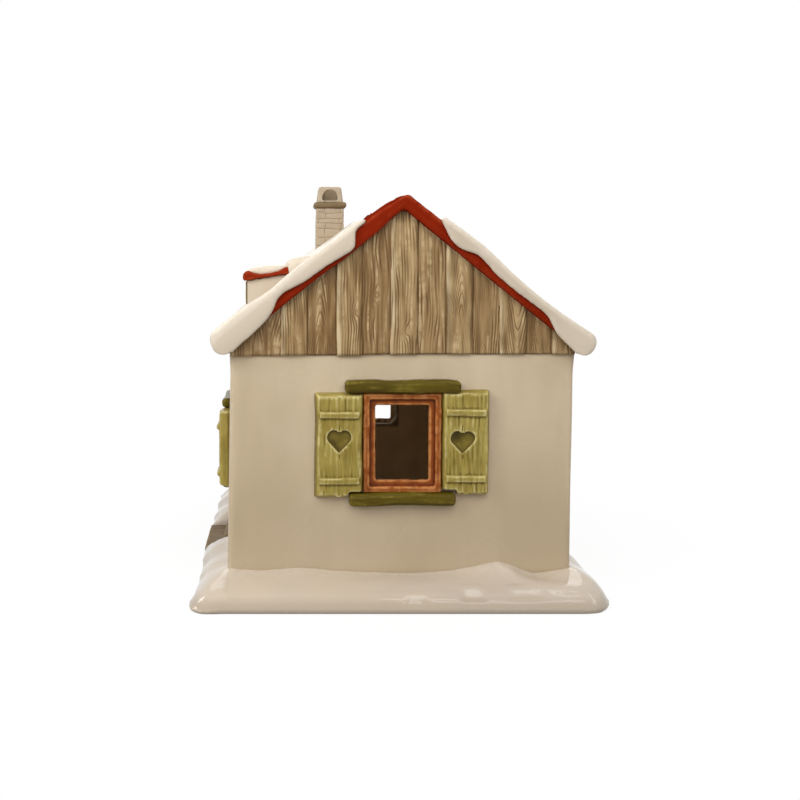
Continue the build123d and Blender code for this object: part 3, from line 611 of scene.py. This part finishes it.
def makeRoofSnow(name, node, side, profile, seed):
    look = snowLook
    obj, points, normals = softCast(name, [node], look)
    if side < 0:   # the snow closes up to the dormer
        outward, fromFront = np.sign(points[:, 1]), points[:, 0] - houseX - dormerFront
        beside = (abs(abs(points[:, 1]) - dormerSide) < look["near"]) * (abs(fromFront - 10) < 12)
        points[:, 1] -= look["close"] * beside * ease(0.2, 0.7, -normals[:, 1] * outward) * outward
        below = (abs(points[:, 1]) < dormerSide + 1) * (abs(fromFront) < look["near"])
        points[:, 0] += look["close"] * below * ease(0.2, 0.7, normals[:, 0])
    x, y, z = points[:, 0] - houseX, points[:, 1], points[:, 2]
    height = (z - roofTop + abs(x) * roofTan) * roofCos   # off the roof
    random = look["depth"] * (1 + look["lump"] * lumps(points, look["lumpSize"], seed))
    random = random * (1 - 0.3 * ease(38, 50, abs(x)))   # thinner towards the eave
    atGable = ease(-52, -63, y)
    depth = random * (1 - atGable) + follow(profile, abs(x)) * atGable
    depth += 0.8 * ease(52, 63, y)
    grow = np.where(height > 0, height * (depth / look["depth"] - 1), 0)
    over = (height < 0.35) & (height > -1.2) & (abs(y) < rakeHalf - 0.4) & (abs(x) < halfWide)
    height = height + np.where(over, grow - look["press"], grow)
    down = (abs(x) + (roofTop - z) * roofTan) * roofCos   # along the slope
    betweenRakes = ease(rakeHalf, rakeHalf - 14, abs(y))
    wave = look["eaveWave"] * lumps(points * (0, 1, 0), (9, 13, 9), seed + 1) * betweenRakes
    reachOut = wave * ease(down.max() - 14, down.max() - 3, down)
    # the ends at the eave are round
    ball = (depth + look["hang"]) / 2
    reach, rise = down - (down.max() - ball), height - (depth - ball)
    pull = roundOff(reach, rise, ball)
    down, height = down - reach + reach * pull, depth - ball + rise * pull
    # and so are the ends at the ridge
    cap = 0.95 * depth
    start = np.where(y < -60, down[(y < -60) & (height > 0.4)].min(), down.min())
    reach, rise = start + cap - down, np.maximum(height - depth + cap, 0)
    pull = np.where(rise > 0, roundOff(reach, rise, cap), 1)
    down, height = down + reach - reach * pull, height - rise + rise * pull
    nearEave = ease(down.max() - 14, down.max() - 3, down) * betweenRakes
    down = down + reachOut - look["eaveWave"] * nearEave
    points[:, 0] = houseX + side * (down * roofCos + height * roofCos * roofTan)
    points[:, 2] = roofTop - down * roofCos * roofTan + height * roofCos
    writePoints(obj, points)
    # painted shade: the end face is darker below a crease
    face = ease(0.3, 0.7, -readNormals(obj)[:, 1])
    if side > 0:
        low = 0.1 + 0.9 * ease(1.3, 1.8, depth - height) * (1 - 0.6 * ease(50, 60, abs(x)))
    else:
        low = 0.45 * ease(1.0, 0.1, height) + 0.3 * ease(0, -4, height)
    setPiece(obj, [node], "glazed_snow", snowGlaze, tint=face * low, relief=readRelief(obj, 4, 1.3))


makeRoof()
makeRoofSnow("frontRoofSnow", "roof_snow_front", -1, frontDepth, 41)
makeRoofSnow("backRoofSnow", "roof_snow_back", 1, backDepth, 43)
print("roof cast and snowed")


dormerWallLook = dict(voxel=0.5, rounds=4, cover=0.14, holeDeep=4)
dormerRoofLook = dict(voxel=0.35, rounds=6, lump=0.15, lumpSize=6, pitch=0.162)
dormerSnowLook = dict(voxel=0.5, rounds=10, thick=2.4, overEdge=2.6, puff=0.35)
dormerFrameLook = dict(voxel=0.25, rounds=2, lump=0.06, lumpSize=3)
dormerShutterLook = dict(voxel=0.25, rounds=2, lump=0.08, lumpSize=3, plank=1.1, draft=0.35)
# thickness of the dormer's roof from its eave back, against the solid's
dormerEdge = [(0, 1.2), (1, 1.5), (2.2, 1.58), (3.3, 1.35), (4.6, 0.95), (6.5, 0.68), (8, 0.58), (11.5, 0.54),
              (14.4, 0.67), (16, 0.95), (17.5, 1.2), (19, 1.2), (22, 0.9)]
# its snow runs up into the snow of the main roof
dormerHeap = [(0, -0.6), (2, -0.4), (4, 0), (8.4, -0.1), (12, -0.6), (16, -1.2), (17, -0.9), (18, 0),
              (20, 0.4), (22, 0.6), (26, 0.5), (30, 0.3)]


def makeDormer():
    look = dormerWallLook
    obj, points, _ = softCast("dormerWalls", ["dormer_body"], look)
    low, high = points.min(0), points.max(0)
    x, y = points.T[:2]
    inner, near = np.minimum(x - low[0], high[1] - abs(y)), x < low[0] + look["holeDeep"]
    writePoints(obj, moveHole(points, "dormer_window_frame", "front", look["cover"], near)[0])
    setPiece(obj, ["dormer_body"], "glazed_wall", dormerGlaze, tint=ease(1.4, 2.2, inner),
             relief=readRelief(obj, 3, 0.8))

    look = dormerRoofLook
    roof, points, normals = softCast("dormerRoof", ["dormer_roof"], look)
    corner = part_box("dormer_roof")[0]
    start, eave = corner.x / mm, corner.z / mm
    under = eave + look["pitch"] * (points[:, 0] - start)
    points[:, 2] = under + (points[:, 2] - under) * follow(dormerEdge, points[:, 0] - start)
    roughen(points, normals, look, 51)
    writePoints(roof, points)
    setPiece(roof, ["dormer_roof"], "red_glaze", redGlaze, relief=readRelief(roof, 1) + 0.05)

    look = dormerSnowLook
    snow, points, normals = softCast("dormerSnow", ["dormer_snow"], look)
    x, y, z = points.T
    along = x - start
    sink = look["thick"] * (1 - follow(dormerEdge, along))
    lower = ease(0.3, -0.5, normals[:, 2])
    atBack = ease(17.6, 18.8, along)   # here it lies over the red edge
    z -= np.where(sink > 0, sink * lower, 0) + look["overEdge"] * lower * atBack
    y += 0.5 * np.sign(y) * atBack * ease(0.2, 0.7, abs(normals[:, 1]))
    z += follow(dormerHeap, along) * ease(-0.1, 0.5, normals[:, 2])
    points += normals * (look["puff"] + 0.25 * lumps(points, 9, 52) + 0.7 * ease(17, 19, along))[:, None]
    writePoints(snow, points)
    setPiece(snow, ["dormer_snow"], "glazed_snow", snowGlaze, relief=readRelief(snow, 3))

    simpleCasting("dormerFrame", "dormer_window_frame", dormerFrameLook, "frame_glaze", frameGlaze, 53)
    look = dormerShutterLook
    shutters = simpleCasting("dormerShutters", "dormer_shutters", look, "shutter_glaze", shutterGlaze, 54)
    points, normals = readPoints(shutters), readNormals(shutters)
    x, y = points.T[:2]
    groove = bell((y / look["plank"]) % 1 - 0.5, 0.14) * ease(0.4, 0.8, -normals[:, 0])
    x += 0.12 * groove + look["draft"] * (x.max() - x)
    writePoints(shutters, points)
    paint(shutters, "tint", ease(0.4, 0.8, abs(normals[:, 1])))
    paint(shutters, "relief", readRelief(shutters, 1) - 0.12 * groove)


makeDormer()
print("dormer set")


# chimney: rough stones, a bead and a cap with blind arches

chimneyLook = dict(voxel=0.3, rounds=3, joint=0.19, depth=0.2, wobble=0.5, lump=0.14, lumpSize=2.5,
                   stone=(5.0, 9.0), shade=0.14,
                   courses=[0.0, 1.8, 4.5, 6.5, 9.1, 12.7, 16.6, 20.4, 24.2, 28.2, 32.4])
beadLook = dict(voxel=0.25, rounds=5, lump=0.12, lumpSize=4)
capLook = dict(voxel=0.2, rounds=4, arch=(6.7, 3.9), archLift=0.95, half=5.8, draft=0.9)


def makeChimney():
    look = chimneyLook
    obj, points, normals = softCast("chimneyStack", ["chimney_stack"], look)
    centre = (points.min(0) + points.max(0)) / 2
    facing = np.where(abs(normals[:, 0]) > abs(normals[:, 1]), np.where(normals[:, 0] > 0, 0, 1),
                      np.where(normals[:, 1] > 0, 2, 3))
    along = np.where(facing < 2, points[:, 1] - centre[1], points[:, 0] - centre[0])
    fall = points[:, 2].max() - points[:, 2] + look["wobble"] * lumps(points, 3.5, 61)
    courses = np.array(look["courses"])
    row = np.clip(np.searchsorted(courses, fall) - 1, 0, len(courses) - 2)
    edge = np.minimum(fall - courses[row], courses[row + 1] - fall)
    edge = np.where(fall < 0.6, 9, edge)   # no joint at the very top
    shade = np.zeros(len(points))
    rng = np.random.default_rng(62)
    for face in range(4):
        for level in range(len(courses) - 1):
            here = (facing == face) & (row == level)
            cuts = np.cumsum(rng.uniform(*look["stone"], 6)) - 12 + rng.uniform(-3, 3)
            tones = rng.uniform(0, look["shade"], 7)
            shift = along[here] + look["wobble"] * lumps(points[here], 3, 63)
            edge[here] = np.minimum(edge[here], abs(shift[:, None] - cuts[None]).min(1))
            shade[here] = tones[np.searchsorted(cuts, shift)]
    joint = bell(edge, look["joint"])
    points -= normals * (look["depth"] * joint)[:, None]
    roughen(points, normals, look, 64)
    writePoints(obj, points)
    setPiece(obj, ["chimney_stack"], "chimney_glaze", chimneyGlaze, tint=shade,
             relief=readRelief(obj, 1, 0.6) - 0.11 * joint)

    simpleCasting("chimneyBead", "chimney_collar", beadLook, "stone_glaze", stoneGlaze, 65)

    look = capLook
    cap, points, _ = softCast("chimneyCap", ["chimney_cap"], look)
    centre = (points.min(0) + points.max(0)) / 2
    lift = points[:, 2] - points[:, 2].min()
    rise = lift - look["archLift"]
    off = abs(points[:, :2] - centre[:2])
    sunk = look["half"] - look["draft"] * lift / np.ptp(points[:, 2]) - off.max(1)
    wide, tall = look["arch"]
    bow = np.hypot(off.min(1) / (wide / 2), np.maximum(rise, 0) / tall)   # 1 on the arch's line
    arch = ease(1.12, 0.98, bow) * ease(-0.3, 0.1, rise) * ease(0.1, 0.4, sunk)
    setPiece(cap, ["chimney_cap"], "chimney_glaze", chimneyGlaze, tint=arch, relief=readRelief(cap, 1))


makeChimney()
print("chimney built")


# carved boards in the gables

boardLook = dict(grid=0.2, low=85.7, peak=137.0, thick=1.1, step=0.55, seam=0.35, seamWidth=0.36, groove=0.26,
                 grooveWidth=0.27, foot=0.4, bow=0.6, overlap=0.9, back=-0.4)
boardTones = [0.55, 0.15, 0.4, 0.1, 0.55, 0.0, 0.85, 0.25, 0.95, 0.4, 1.0, 0.45, 0.5]
boardSeams = [-52.1, -42.6, -33.6, -23.3, -14.3, -4.2, 5.3, 15.2, 24.5, 33.9, 43.4, 52.5]


def grainLines(s, t, rng):   # a value whose whole steps are the grain lines of one board
    sway = sheetLumps(s * 0, t, (1, 13), int(rng.integers(999)))
    s = s - rng.uniform(-1.6, 1.6) + 0.6 * sway
    if rng.random() < 0.4:
        way = rng.choice([-1, 1])
        lines = (way * t + rng.uniform(2.6, 4.2) * abs(s) ** rng.uniform(1.3, 1.6)) / rng.uniform(4.5, 7)
    else:
        lines = s / rng.uniform(0.85, 1.25)
    lines = lines + 0.6 * sheetLumps(s, t, (3, 17), int(rng.integers(999)))
    lines = lines + 0.2 * sheetLumps(s, t, (1.3, 8), int(rng.integers(999)))
    for knot in range(rng.integers(0, 2)):
        ks, kt = rng.uniform(-2, 2), rng.uniform(5, 22)
        lines = lines + 1.8 * np.exp(-((s - ks) / 1.2) ** 2 - ((t - kt) / 2.8) ** 2)
    return lines


def rimmedSheet(name, u, out, z, keep, wall, back):   # the rim closes the sheet against the wall
    corners = [np.s_[:-1, :-1], np.s_[:-1, 1:], np.s_[1:, 1:], np.s_[1:, :-1]]
    index = np.arange(u.size).reshape(u.shape)
    whole = np.all([keep[corner] for corner in corners], axis=0)
    quads = np.stack([index[corner] for corner in corners], 2)[whole]
    used = np.unique(quads)
    quads = np.searchsorted(used, quads)
    local = np.stack([u.ravel(), out.ravel(), z.ravel()], 1)[used]
    sides = np.concatenate([quads[:, [k, (k + 1) % 4]] for k in range(4)])
    _, first, uses = np.unique(np.sort(sides, axis=1), axis=0, return_index=True, return_counts=True)
    border = sides[first[uses == 1]]
    rim = np.unique(border)
    behind = len(local) + np.searchsorted(rim, border)
    skirt = np.concatenate([border[:, ::-1], behind], 1)
    points = np.concatenate([local, local[rim] * (1, 0, 1) + (0, back, 0)])
    obj = newPiece(name, fromWall(points, wall), np.concatenate([quads, skirt]))
    obj.data.shade_smooth()
    return obj, np.concatenate([used, used[rim]]), len(rim)   # also the grid's points that it shows


def makeBoards(name, node, wall, seed):
    look, rng = boardLook, np.random.default_rng(seed)
    us = np.arange(-halfWide, halfWide + look["grid"] / 2, look["grid"])
    zs = np.arange(look["low"], look["peak"] + look["overlap"], look["grid"])
    u, z = np.meshgrid(us, zs)

    def blots(wide, tall, number):
        return sheetLumps(u, z, (wide, tall), seed + number)

    count = len(boardTones)
    seams = np.array([-halfWide, *boardSeams, halfWide])
    bent = u + 0.25 * blots(5, 14, 40)
    number = np.clip(np.searchsorted(seams, bent) - 1, 0, count - 1)
    raised = 1 - number % 2
    toSeam = abs(bent[..., None] - seams[1:-1]).min(-1)
    groove = np.zeros(u.shape)
    for board in range(count):
        mid = (seams[board] + seams[board + 1]) / 2
        lines = grainLines(u - mid, z - look["low"], rng)
        rise = np.hypot(*np.gradient(lines, look["grid"]))
        away = abs((lines + 0.5) % 1 - 0.5) / np.maximum(rise, 0.3)
        strength = np.clip(0.6 + 0.6 * blots(2.0, 8, board), 0, 1)
        width = look["grooveWidth"] * (1 + 0.4 * blots(3, 6, board + 20))
        groove = np.where(number == board, bell(away, width) * strength, groove)
    seam = bell(toSeam, look["seamWidth"]) * np.clip(0.65 + 0.6 * blots(3, 9, 41), 0, 1)
    foot = bell(z - look["low"], 0.5)
    out = look["thick"] + look["step"] * raised - look["groove"] * groove - look["seam"] * seam
    out = out - look["foot"] * foot + 0.14 * blots(4, 14, 50) + 0.05 * blots(0.9, 3.5, 51)
    uneven = 0.15 * rng.uniform(-1, 1, count)[number] + look["bow"] * ease(-25, 5, u)
    zShown = z + uneven * np.clip(1 - (z - look["low"]) / 1.5, 0, 1)
    shade = np.array(boardTones)[number] + 0.3 * blots(3, 16, 70) + 0.2 * blots(1, 6, 71)
    # painted highlight on the left edges of the raised boards and painted shade on their right edges; the
    # crests between grooves are painted pale
    fromLeft, toRight = bent - seams[number], seams[number + 1] - bent
    paleEdges = raised * bell(fromLeft - 0.7, 0.75) * np.clip(0.95 + 0.45 * blots(9, 7, 73), 0, 1)
    pale = (1 - groove) * (0.04 + 0.13 * blots(1.0, 9, 72)) - 0.06 * raised * bell(toRight - 0.5, 0.5)
    # painted shade under the apex
    apexShade = bell(u, 2.2) * ease(look["peak"] - 5.5, look["peak"] - 3, z)   # under the apex
    # grooves and seams darker, and painted shade along the boards' foot
    marks = pale - 0.12 * groove - 0.09 * seam - 0.12 * foot - 0.14 * apexShade
    underRoof = (look["peak"] - abs(u) * roofTan - z) * roofCos
    # a pale line along the top edge under the roof
    paleEdges = np.maximum(paleEdges, 0.5 * bell(underRoof - 0.2, 0.3) * (1 - apexShade))
    keep = z < look["peak"] - abs(u) * roofTan + look["overlap"]
    obj, shown, rimCount = rimmedSheet(name, u, out, zShown, keep, wall, look["back"])
    shade, marks, paleEdges = shade.ravel()[shown], marks.ravel()[shown], paleEdges.ravel()[shown]
    # the rim is painted in shade
    marks[-rimCount:] = -0.08
    setPiece(obj, [node], "wood_glaze", boardGlaze, extra=paleEdges, tint=np.clip(shade, 0, 1),
             relief=readRelief(obj, 2, 0.4) + marks)


makeBoards("rightBoards", "right_gable_boards", "right", 71)
makeBoards("leftBoards", "left_gable_boards", "left", 83)
print("boards carved")


# windows

frameLook = dict(voxel=0.32, rounds=3, lump=0.16, lumpSize=3)
railLook = dict(voxel=0.35, rounds=12, lump=0.3, lumpSize=(5, 9, 5), bend=0.4, ridge=0.12)
shutterLook = dict(voxel=0.3, rounds=4, face=3.9, draft=(0.03, 0.13), groove=0.11, wobble=0.3, crack=0.17,
                   crackDepth=0.18, heartAt=0.55)
# this one sits higher than its pair, with its heart to one side
shutterLift = {"right_gable_right_shutter": 0.9}
heartShift = {"right_gable_right_shutter": (-1.3, -0.3)}
frontPush = 0.8   # the front wall leans out here


def makeShutter(name, node, wall, seed):
    look = shutterLook
    face = look["face"]
    obj, points, normals = softCast(name, [node], look)
    normals, local = turnToWall(normals, wall), toWall(points, wall)
    low, high = wallBox(node, wall)
    mid = (low + high) / 2
    u, out, z = local.T
    width, tall = high[0] - low[0], high[2] - low[2]
    fromMid, fromHeart = u - mid[0], z - low[2] - look["heartAt"] * tall
    heart = ease(face - 0.3, face - 0.8, out) * (out > 1.6)
    heart = heart * (abs(fromMid) < 0.31 * width) * (abs(fromHeart) < 0.22 * tall)
    side = ease(0.4, 0.8, abs(normals[:, 0])) * (out < face - 0.25) * (abs(fromMid) > 0.44 * width)
    plank = ease(0.5, 0.9, normals[:, 1]) * (1 - heart) * np.where(out < face + 0.35, 1, 0.45)
    shiftU, shiftZ = heartShift.get(node, (0, 0))
    around = ease(9, 4, np.hypot(fromMid, fromHeart)) * (out > 1)
    shift = np.stack([shiftU * around, u * 0, shiftZ * around], 1)
    seen = local + shift   # the grain runs straight past the heart
    streak = lumps(seen, (0.8, 9, 7), seed) + 0.6 * lumps(seen, (0.45, 9, 4), seed + 1)
    groove = np.clip(streak * (0.75 + 0.5 * lumps(local, (4, 9, 9), seed + 2)), -1, 1) * plank
    # a short crack above the heart and one below it
    along = (z - low[2]) / tall
    fromCrack = seen[:, 0] - mid[0] - shiftU - 0.25 * lumps(seen, (9, 9, 3), seed + 6)
    crack = look["crackDepth"] * bell(fromCrack, look["crack"]) * plank
    crack = crack * (ease(0.05, 0.02, abs(along - 0.7)) + ease(0.03, 0.01, abs(along - 0.4)))
    wobble = np.stack([lumps(local, 9, seed + 3), u * 0, lumps(local, 9, seed + 4)], 1)
    shaped = local + look["wobble"] * wobble + shift
    flare = look["draft"][0] - look["draft"][1] * np.clip(out / face, 0, 1)
    shaped[:, 0] += fromMid * flare
    shaped[:, 2] += (z - mid[2]) * flare * 0.5 + shutterLift.get(node, 0) * ease(5, 10, abs(fromHeart))
    joint = (abs(fromMid) < 0.8) * (out > face - 0.8) * (out < face) * (1 - heart)
    shaped[:, 1] += joint * (face - out)   # cast shut
    shaped[:, 2] -= ease(0.67, 0.75, along) * ease(0.97, 0.9, along)   # the upper batten sits low
    shaped[:, 1] += look["groove"] * groove - crack
    shaped[:, 1] += np.where(out > 1, 0.15 * lumps(local, (4, 4, 6), seed + 5), -0.3)
    writePoints(obj, fromWall(shaped, wall))
    # the side faces are painted darker, except on the front wall
    sideDarkening = 0 if wall == "front" else 0.1
    # painted shade where the shutter meets the wall
    relief = readRelief(obj, 3, 2.0) + 0.075 * groove - crack - 0.16 * ease(1.4, 0.3, out) - sideDarkening * side
    setPiece(obj, [node], "shutter_glaze", shutterGlaze, tint=heart, relief=relief)
    return obj


def makeRail(name, node, wall, seed):
    look = railLook
    obj, points, normals = softCast(name, [node], look)
    normals, local = turnToWall(normals, wall), toWall(points, wall)
    out = local[:, 1].copy()
    streak = lumps(local, (9, 9, 0.9), seed) + 0.6 * lumps(local, (5, 9, 0.5), seed + 1)
    streak = streak * ease(0.1, 0.6, normals[:, 1])
    bend = look["bend"] * lumps(local * (1, 0, 0), (13, 9, 9), seed + 2)
    roughen(local, normals, look, seed + 3)
    local[:, 1] += look["ridge"] * streak
    local[:, 2] += bend
    writePoints(obj, fromWall(local, wall))
    # painted shade where the rail meets the wall
    setPiece(obj, [node], "green_glaze", logGlaze,
             relief=readRelief(obj, 3, 1.2) + 0.09 * streak - 0.16 * ease(1.3, 0.3, out))
    return obj


def makeWindow(window, wall, seed):
    trim = simpleCasting(window + "Frame", window + "_window_frame", frameLook, "frame_glaze", frameGlaze,
                         seed)
    out = toWall(readPoints(trim), wall)[:, 1]
    behind = ease(-0.2, -0.7, turnToWall(readNormals(trim), wall)[:, 1])   # bare, as the walls are indoors
    paint(trim, "tint", behind)
    # painted shade where the frame meets the wall
    paint(trim, "relief", (readRelief(trim, 4, 2.6) - 0.2 * ease(1.0, 0.3, out)) * (1 - behind))
    pieces = [trim]
    for part in ("lintel", "sill"):
        pieces.append(makeRail(window + part.title(), window + "_" + part, wall, seed + len(part)))
    for number, side in enumerate(("left", "right")):
        pieces.append(makeShutter(window + side.title() + "Shutter", f"{window}_{side}_shutter", wall,
                                  seed + 20 + 7 * number))
    if wall == "front":
        for obj in pieces:
            writePoints(obj, readPoints(obj) - (frontPush, 0, 0))


for number, (window, wall) in enumerate(windows.items()):
    makeWindow(window, wall, 100 + 40 * number)
print("windows set")


# door

doorLook = dict(voxel=0.28, rounds=1, groove=0.1)
doorFrameLook = dict(voxel=0.32, rounds=2, lump=0.1, lumpSize=4)
knobLook = dict(voxel=0.16, rounds=2, lump=0.0, lumpSize=4)


def makeDoor():
    leaf, points, normals = softCast("doorLeaf", ["door_leaf"], doorLook)
    normals, local = turnToWall(normals, "front"), toWall(points, "front")
    away = (local[:, 0] + 0.4 * lumps(local, (2, 9, 12), 91) + 0.5) % 1 - 0.5
    groove = bell(away, 0.2) * np.clip(0.5 + 0.6 * lumps(local, (1.5, 9, 7), 92), 0, 1)
    groove = groove * ease(0.5, 0.9, normals[:, 1])
    local[:, 1] -= doorLook["groove"] * groove
    writePoints(leaf, fromWall(local, "front"))
    setPiece(leaf, ["door_leaf"], "green_glaze", logGlaze, relief=readRelief(leaf, 1) - 0.08 * groove)
    simpleCasting("doorFrame", "door_frame", doorFrameLook, "frame_glaze", frameGlaze, 93)
    simpleCasting("doorKnob", "door_knob", knobLook, "knob_brass", brassGlaze, 94)


makeDoor()
print("door hung")


# lamp unit, shown as its solids

lampLook = {
    "housing_plastic": (plain("housingPlastic", (226, 223, 214), 0.42, grain=0.08),
                        ["light_housing", "light_cover", "battery_lid"]),
    "grip_rubber": (plain("gripRubber", (196, 194, 188), 0.7, grain=0.12), ["grip_ring"]),
    "diffuser_plastic": (plain("diffuserPlastic", (240, 232, 212), 0.5, Subsurface_Weight=0.25,
                               Subsurface_Scale=2 * mm, Emission_Color=tone(255, 206, 140),
                               Emission_Strength=1.2), ["light_diffuser"]),
    "lamp_resin": (plain("lampResin", (246, 226, 150), 0.15, Coat_Weight=0.6), ["led_lamp"]),
    "circuit_green": (plain("circuitGreen", (34, 92, 50), 0.35, grainScale=900.0), ["circuit_board"]),
    "bright_steel": (plain("brightSteel", (196, 194, 190), 0.28, metallic=1.0, grainScale=900.0),
                     ["cover_screws", "coin_cell", "battery_contacts"]),
    "switch_black": (plain("switchBlack", (28, 28, 28), 0.45), ["switch_body", "switch_slider"]),
}
bevelled = {"light_housing": 0.15, "light_cover": 0.2, "battery_lid": 0.12, "grip_ring": 0.3,
            "coin_cell": 0.15, "switch_slider": 0.12, "cover_screws": 0.08}


def bevelEdges(obj, width):
    weld = obj.modifiers.new("weld", "WELD")
    weld.merge_threshold = 0.001 * mm
    bevel = obj.modifiers.new("edges", "BEVEL")
    bevel.width = width * mm
    bevel.segments = 2
    bevel.limit_method = "ANGLE"
    bevel.angle_limit = math.radians(40)


for slotName, (material, nodes) in lampLook.items():
    for node in nodes:
        solids[node].data.materials.clear()
        solids[node].data.materials.append(material)
        if node in bevelled:
            bevelEdges(solids[node], bevelled[node])
print("lamp unit dressed")


# floor, light and camera; places here are metres, apart from the camera's

def seenDirectly(tree):   # 1 where the eye, a mirror or glass looks straight at it
    path = addNode(tree, "LightPath").outputs
    seen = path["Is Camera Ray"]
    for ray in ("Is Glossy Ray", "Is Transmission Ray"):
        seen = addNode(tree, "Math", {0: seen, 1: path[ray]}, operation="MAXIMUM").outputs[0]
    return seen


white = (1, 1, 1, 1)
floorLook = dict(radius=4.0, bounce=(152, 149, 144), white=0.9, near=0.07, far=0.2)


def makeFloor():
    look = floorLook
    bpy.ops.mesh.primitive_circle_add(vertices=64, radius=look["radius"], fill_type="NGON")
    floor = bpy.context.object
    floor.name = "floor"
    material, tree, shader = newMaterial("paleFloor")
    tree.nodes.remove(shader)
    seen = seenDirectly(tree)
    colour = mixColour(tree, seen, tone(*look["bounce"]), white)
    lit = addNode(tree, "BsdfDiffuse", {"Color": colour})
    glow = addNode(tree, "Emission", {"Color": white, "Strength": 1.0})
    place = addNode(tree, "TexCoord").outputs["Object"]
    away = addNode(tree, "VectorMath", {0: place}, operation="LENGTH").outputs["Value"]
    share = times(tree, seen, ramp(tree, away, look["near"], look["far"], look["white"], 1.0))
    mix = addNode(tree, "MixShader", {0: share, 1: lit.outputs[0], 2: glow.outputs[0]})
    setInputs(tree, tree.nodes["Material Output"], {"Surface": mix.outputs[0]})
    floor.data.materials.append(material)


roomLook = dict(fill=0.45, aim=(0, 0, 0.07))
lamps = {
    "leftBox": dict(at=(-0.34, -0.27, 0.3), size=(0.2, 0.22), watts=0.82),
    "frontBox": dict(at=(0, -0.4, 0.36), size=(0.5, 0.35), watts=1.25, mirrors=False),
    "topStrip": dict(at=(0.063, -0.1, 0.5), size=(0.018, 0.12), watts=0.02),
    "midStrip": dict(at=(0.11, -0.1, 0.5), size=(0.018, 0.12), watts=0.02),
    "rightStrip": dict(at=(0.155, -0.1, 0.5), size=(0.022, 0.12), watts=0.025),
    "backLeftBox": dict(at=(-0.4, 0.22, 0.42), size=(0.12, 0.16), watts=0.35),
    "cornerBox": dict(at=(0.35, -0.06, 0.42), size=(0.16, 0.1), watts=0.14),
    "backRightBox": dict(at=(0.5, 0.24, 0.24), size=(0.14, 0.18), watts=0.4, mirrors=False),
    "backBox": dict(at=(0.05, 0.5, 0.42), size=(0.6, 0.4), watts=1.0),
}


def makeLight():
    world = bpy.data.worlds.new("whiteRoom")
    bpy.context.scene.world = world
    world.use_nodes = True
    tree = world.node_tree
    soft = tree.nodes["Background"]
    setInputs(tree, soft, {"Color": white, "Strength": roomLook["fill"]})
    bright = addNode(tree, "Background", {"Color": white, "Strength": 1.0})
    mix = addNode(tree, "MixShader", {0: seenDirectly(tree), 1: soft.outputs[0], 2: bright.outputs[0]})
    setInputs(tree, tree.nodes["World Output"], {"Surface": mix.outputs[0]})
    for name, look in lamps.items():
        data = bpy.data.lights.new(name, "AREA")
        data.shape = "RECTANGLE"
        data.size, data.size_y = look["size"]
        data.energy = look["watts"]
        lamp = bpy.data.objects.new(name, data)
        lamp.location = look["at"]
        lamp.rotation_euler = (Vector(roomLook["aim"]) - lamp.location).to_track_quat("-Z", "Y").to_euler()
        bpy.context.scene.collection.objects.link(lamp)
        lamp.visible_glossy = look.get("mirrors", True)


cameraLook = dict(at=(-39.53, -410.4, 120.7), pitch=3.0, sensor=36, lens=44.27, shift=(0.1375, -0.1155))


def makeCamera():
    data = bpy.data.cameras.new("camera")
    camera = bpy.data.objects.new("camera", data)
    bpy.context.scene.collection.objects.link(camera)
    x, y, z = cameraLook["at"]
    camera.location = ((x + houseX) * mm, y * mm, z * mm)
    camera.rotation_euler = (math.radians(90 - cameraLook["pitch"]), 0, 0)
    data.sensor_width = cameraLook["sensor"]
    data.lens = cameraLook["lens"]
    data.shift_x, data.shift_y = cameraLook["shift"]
    data.clip_start = 0.01
    bpy.context.scene.camera = camera


makeFloor()
makeLight()
makeCamera()
bpy.context.scene.view_settings.view_transform = "Standard"
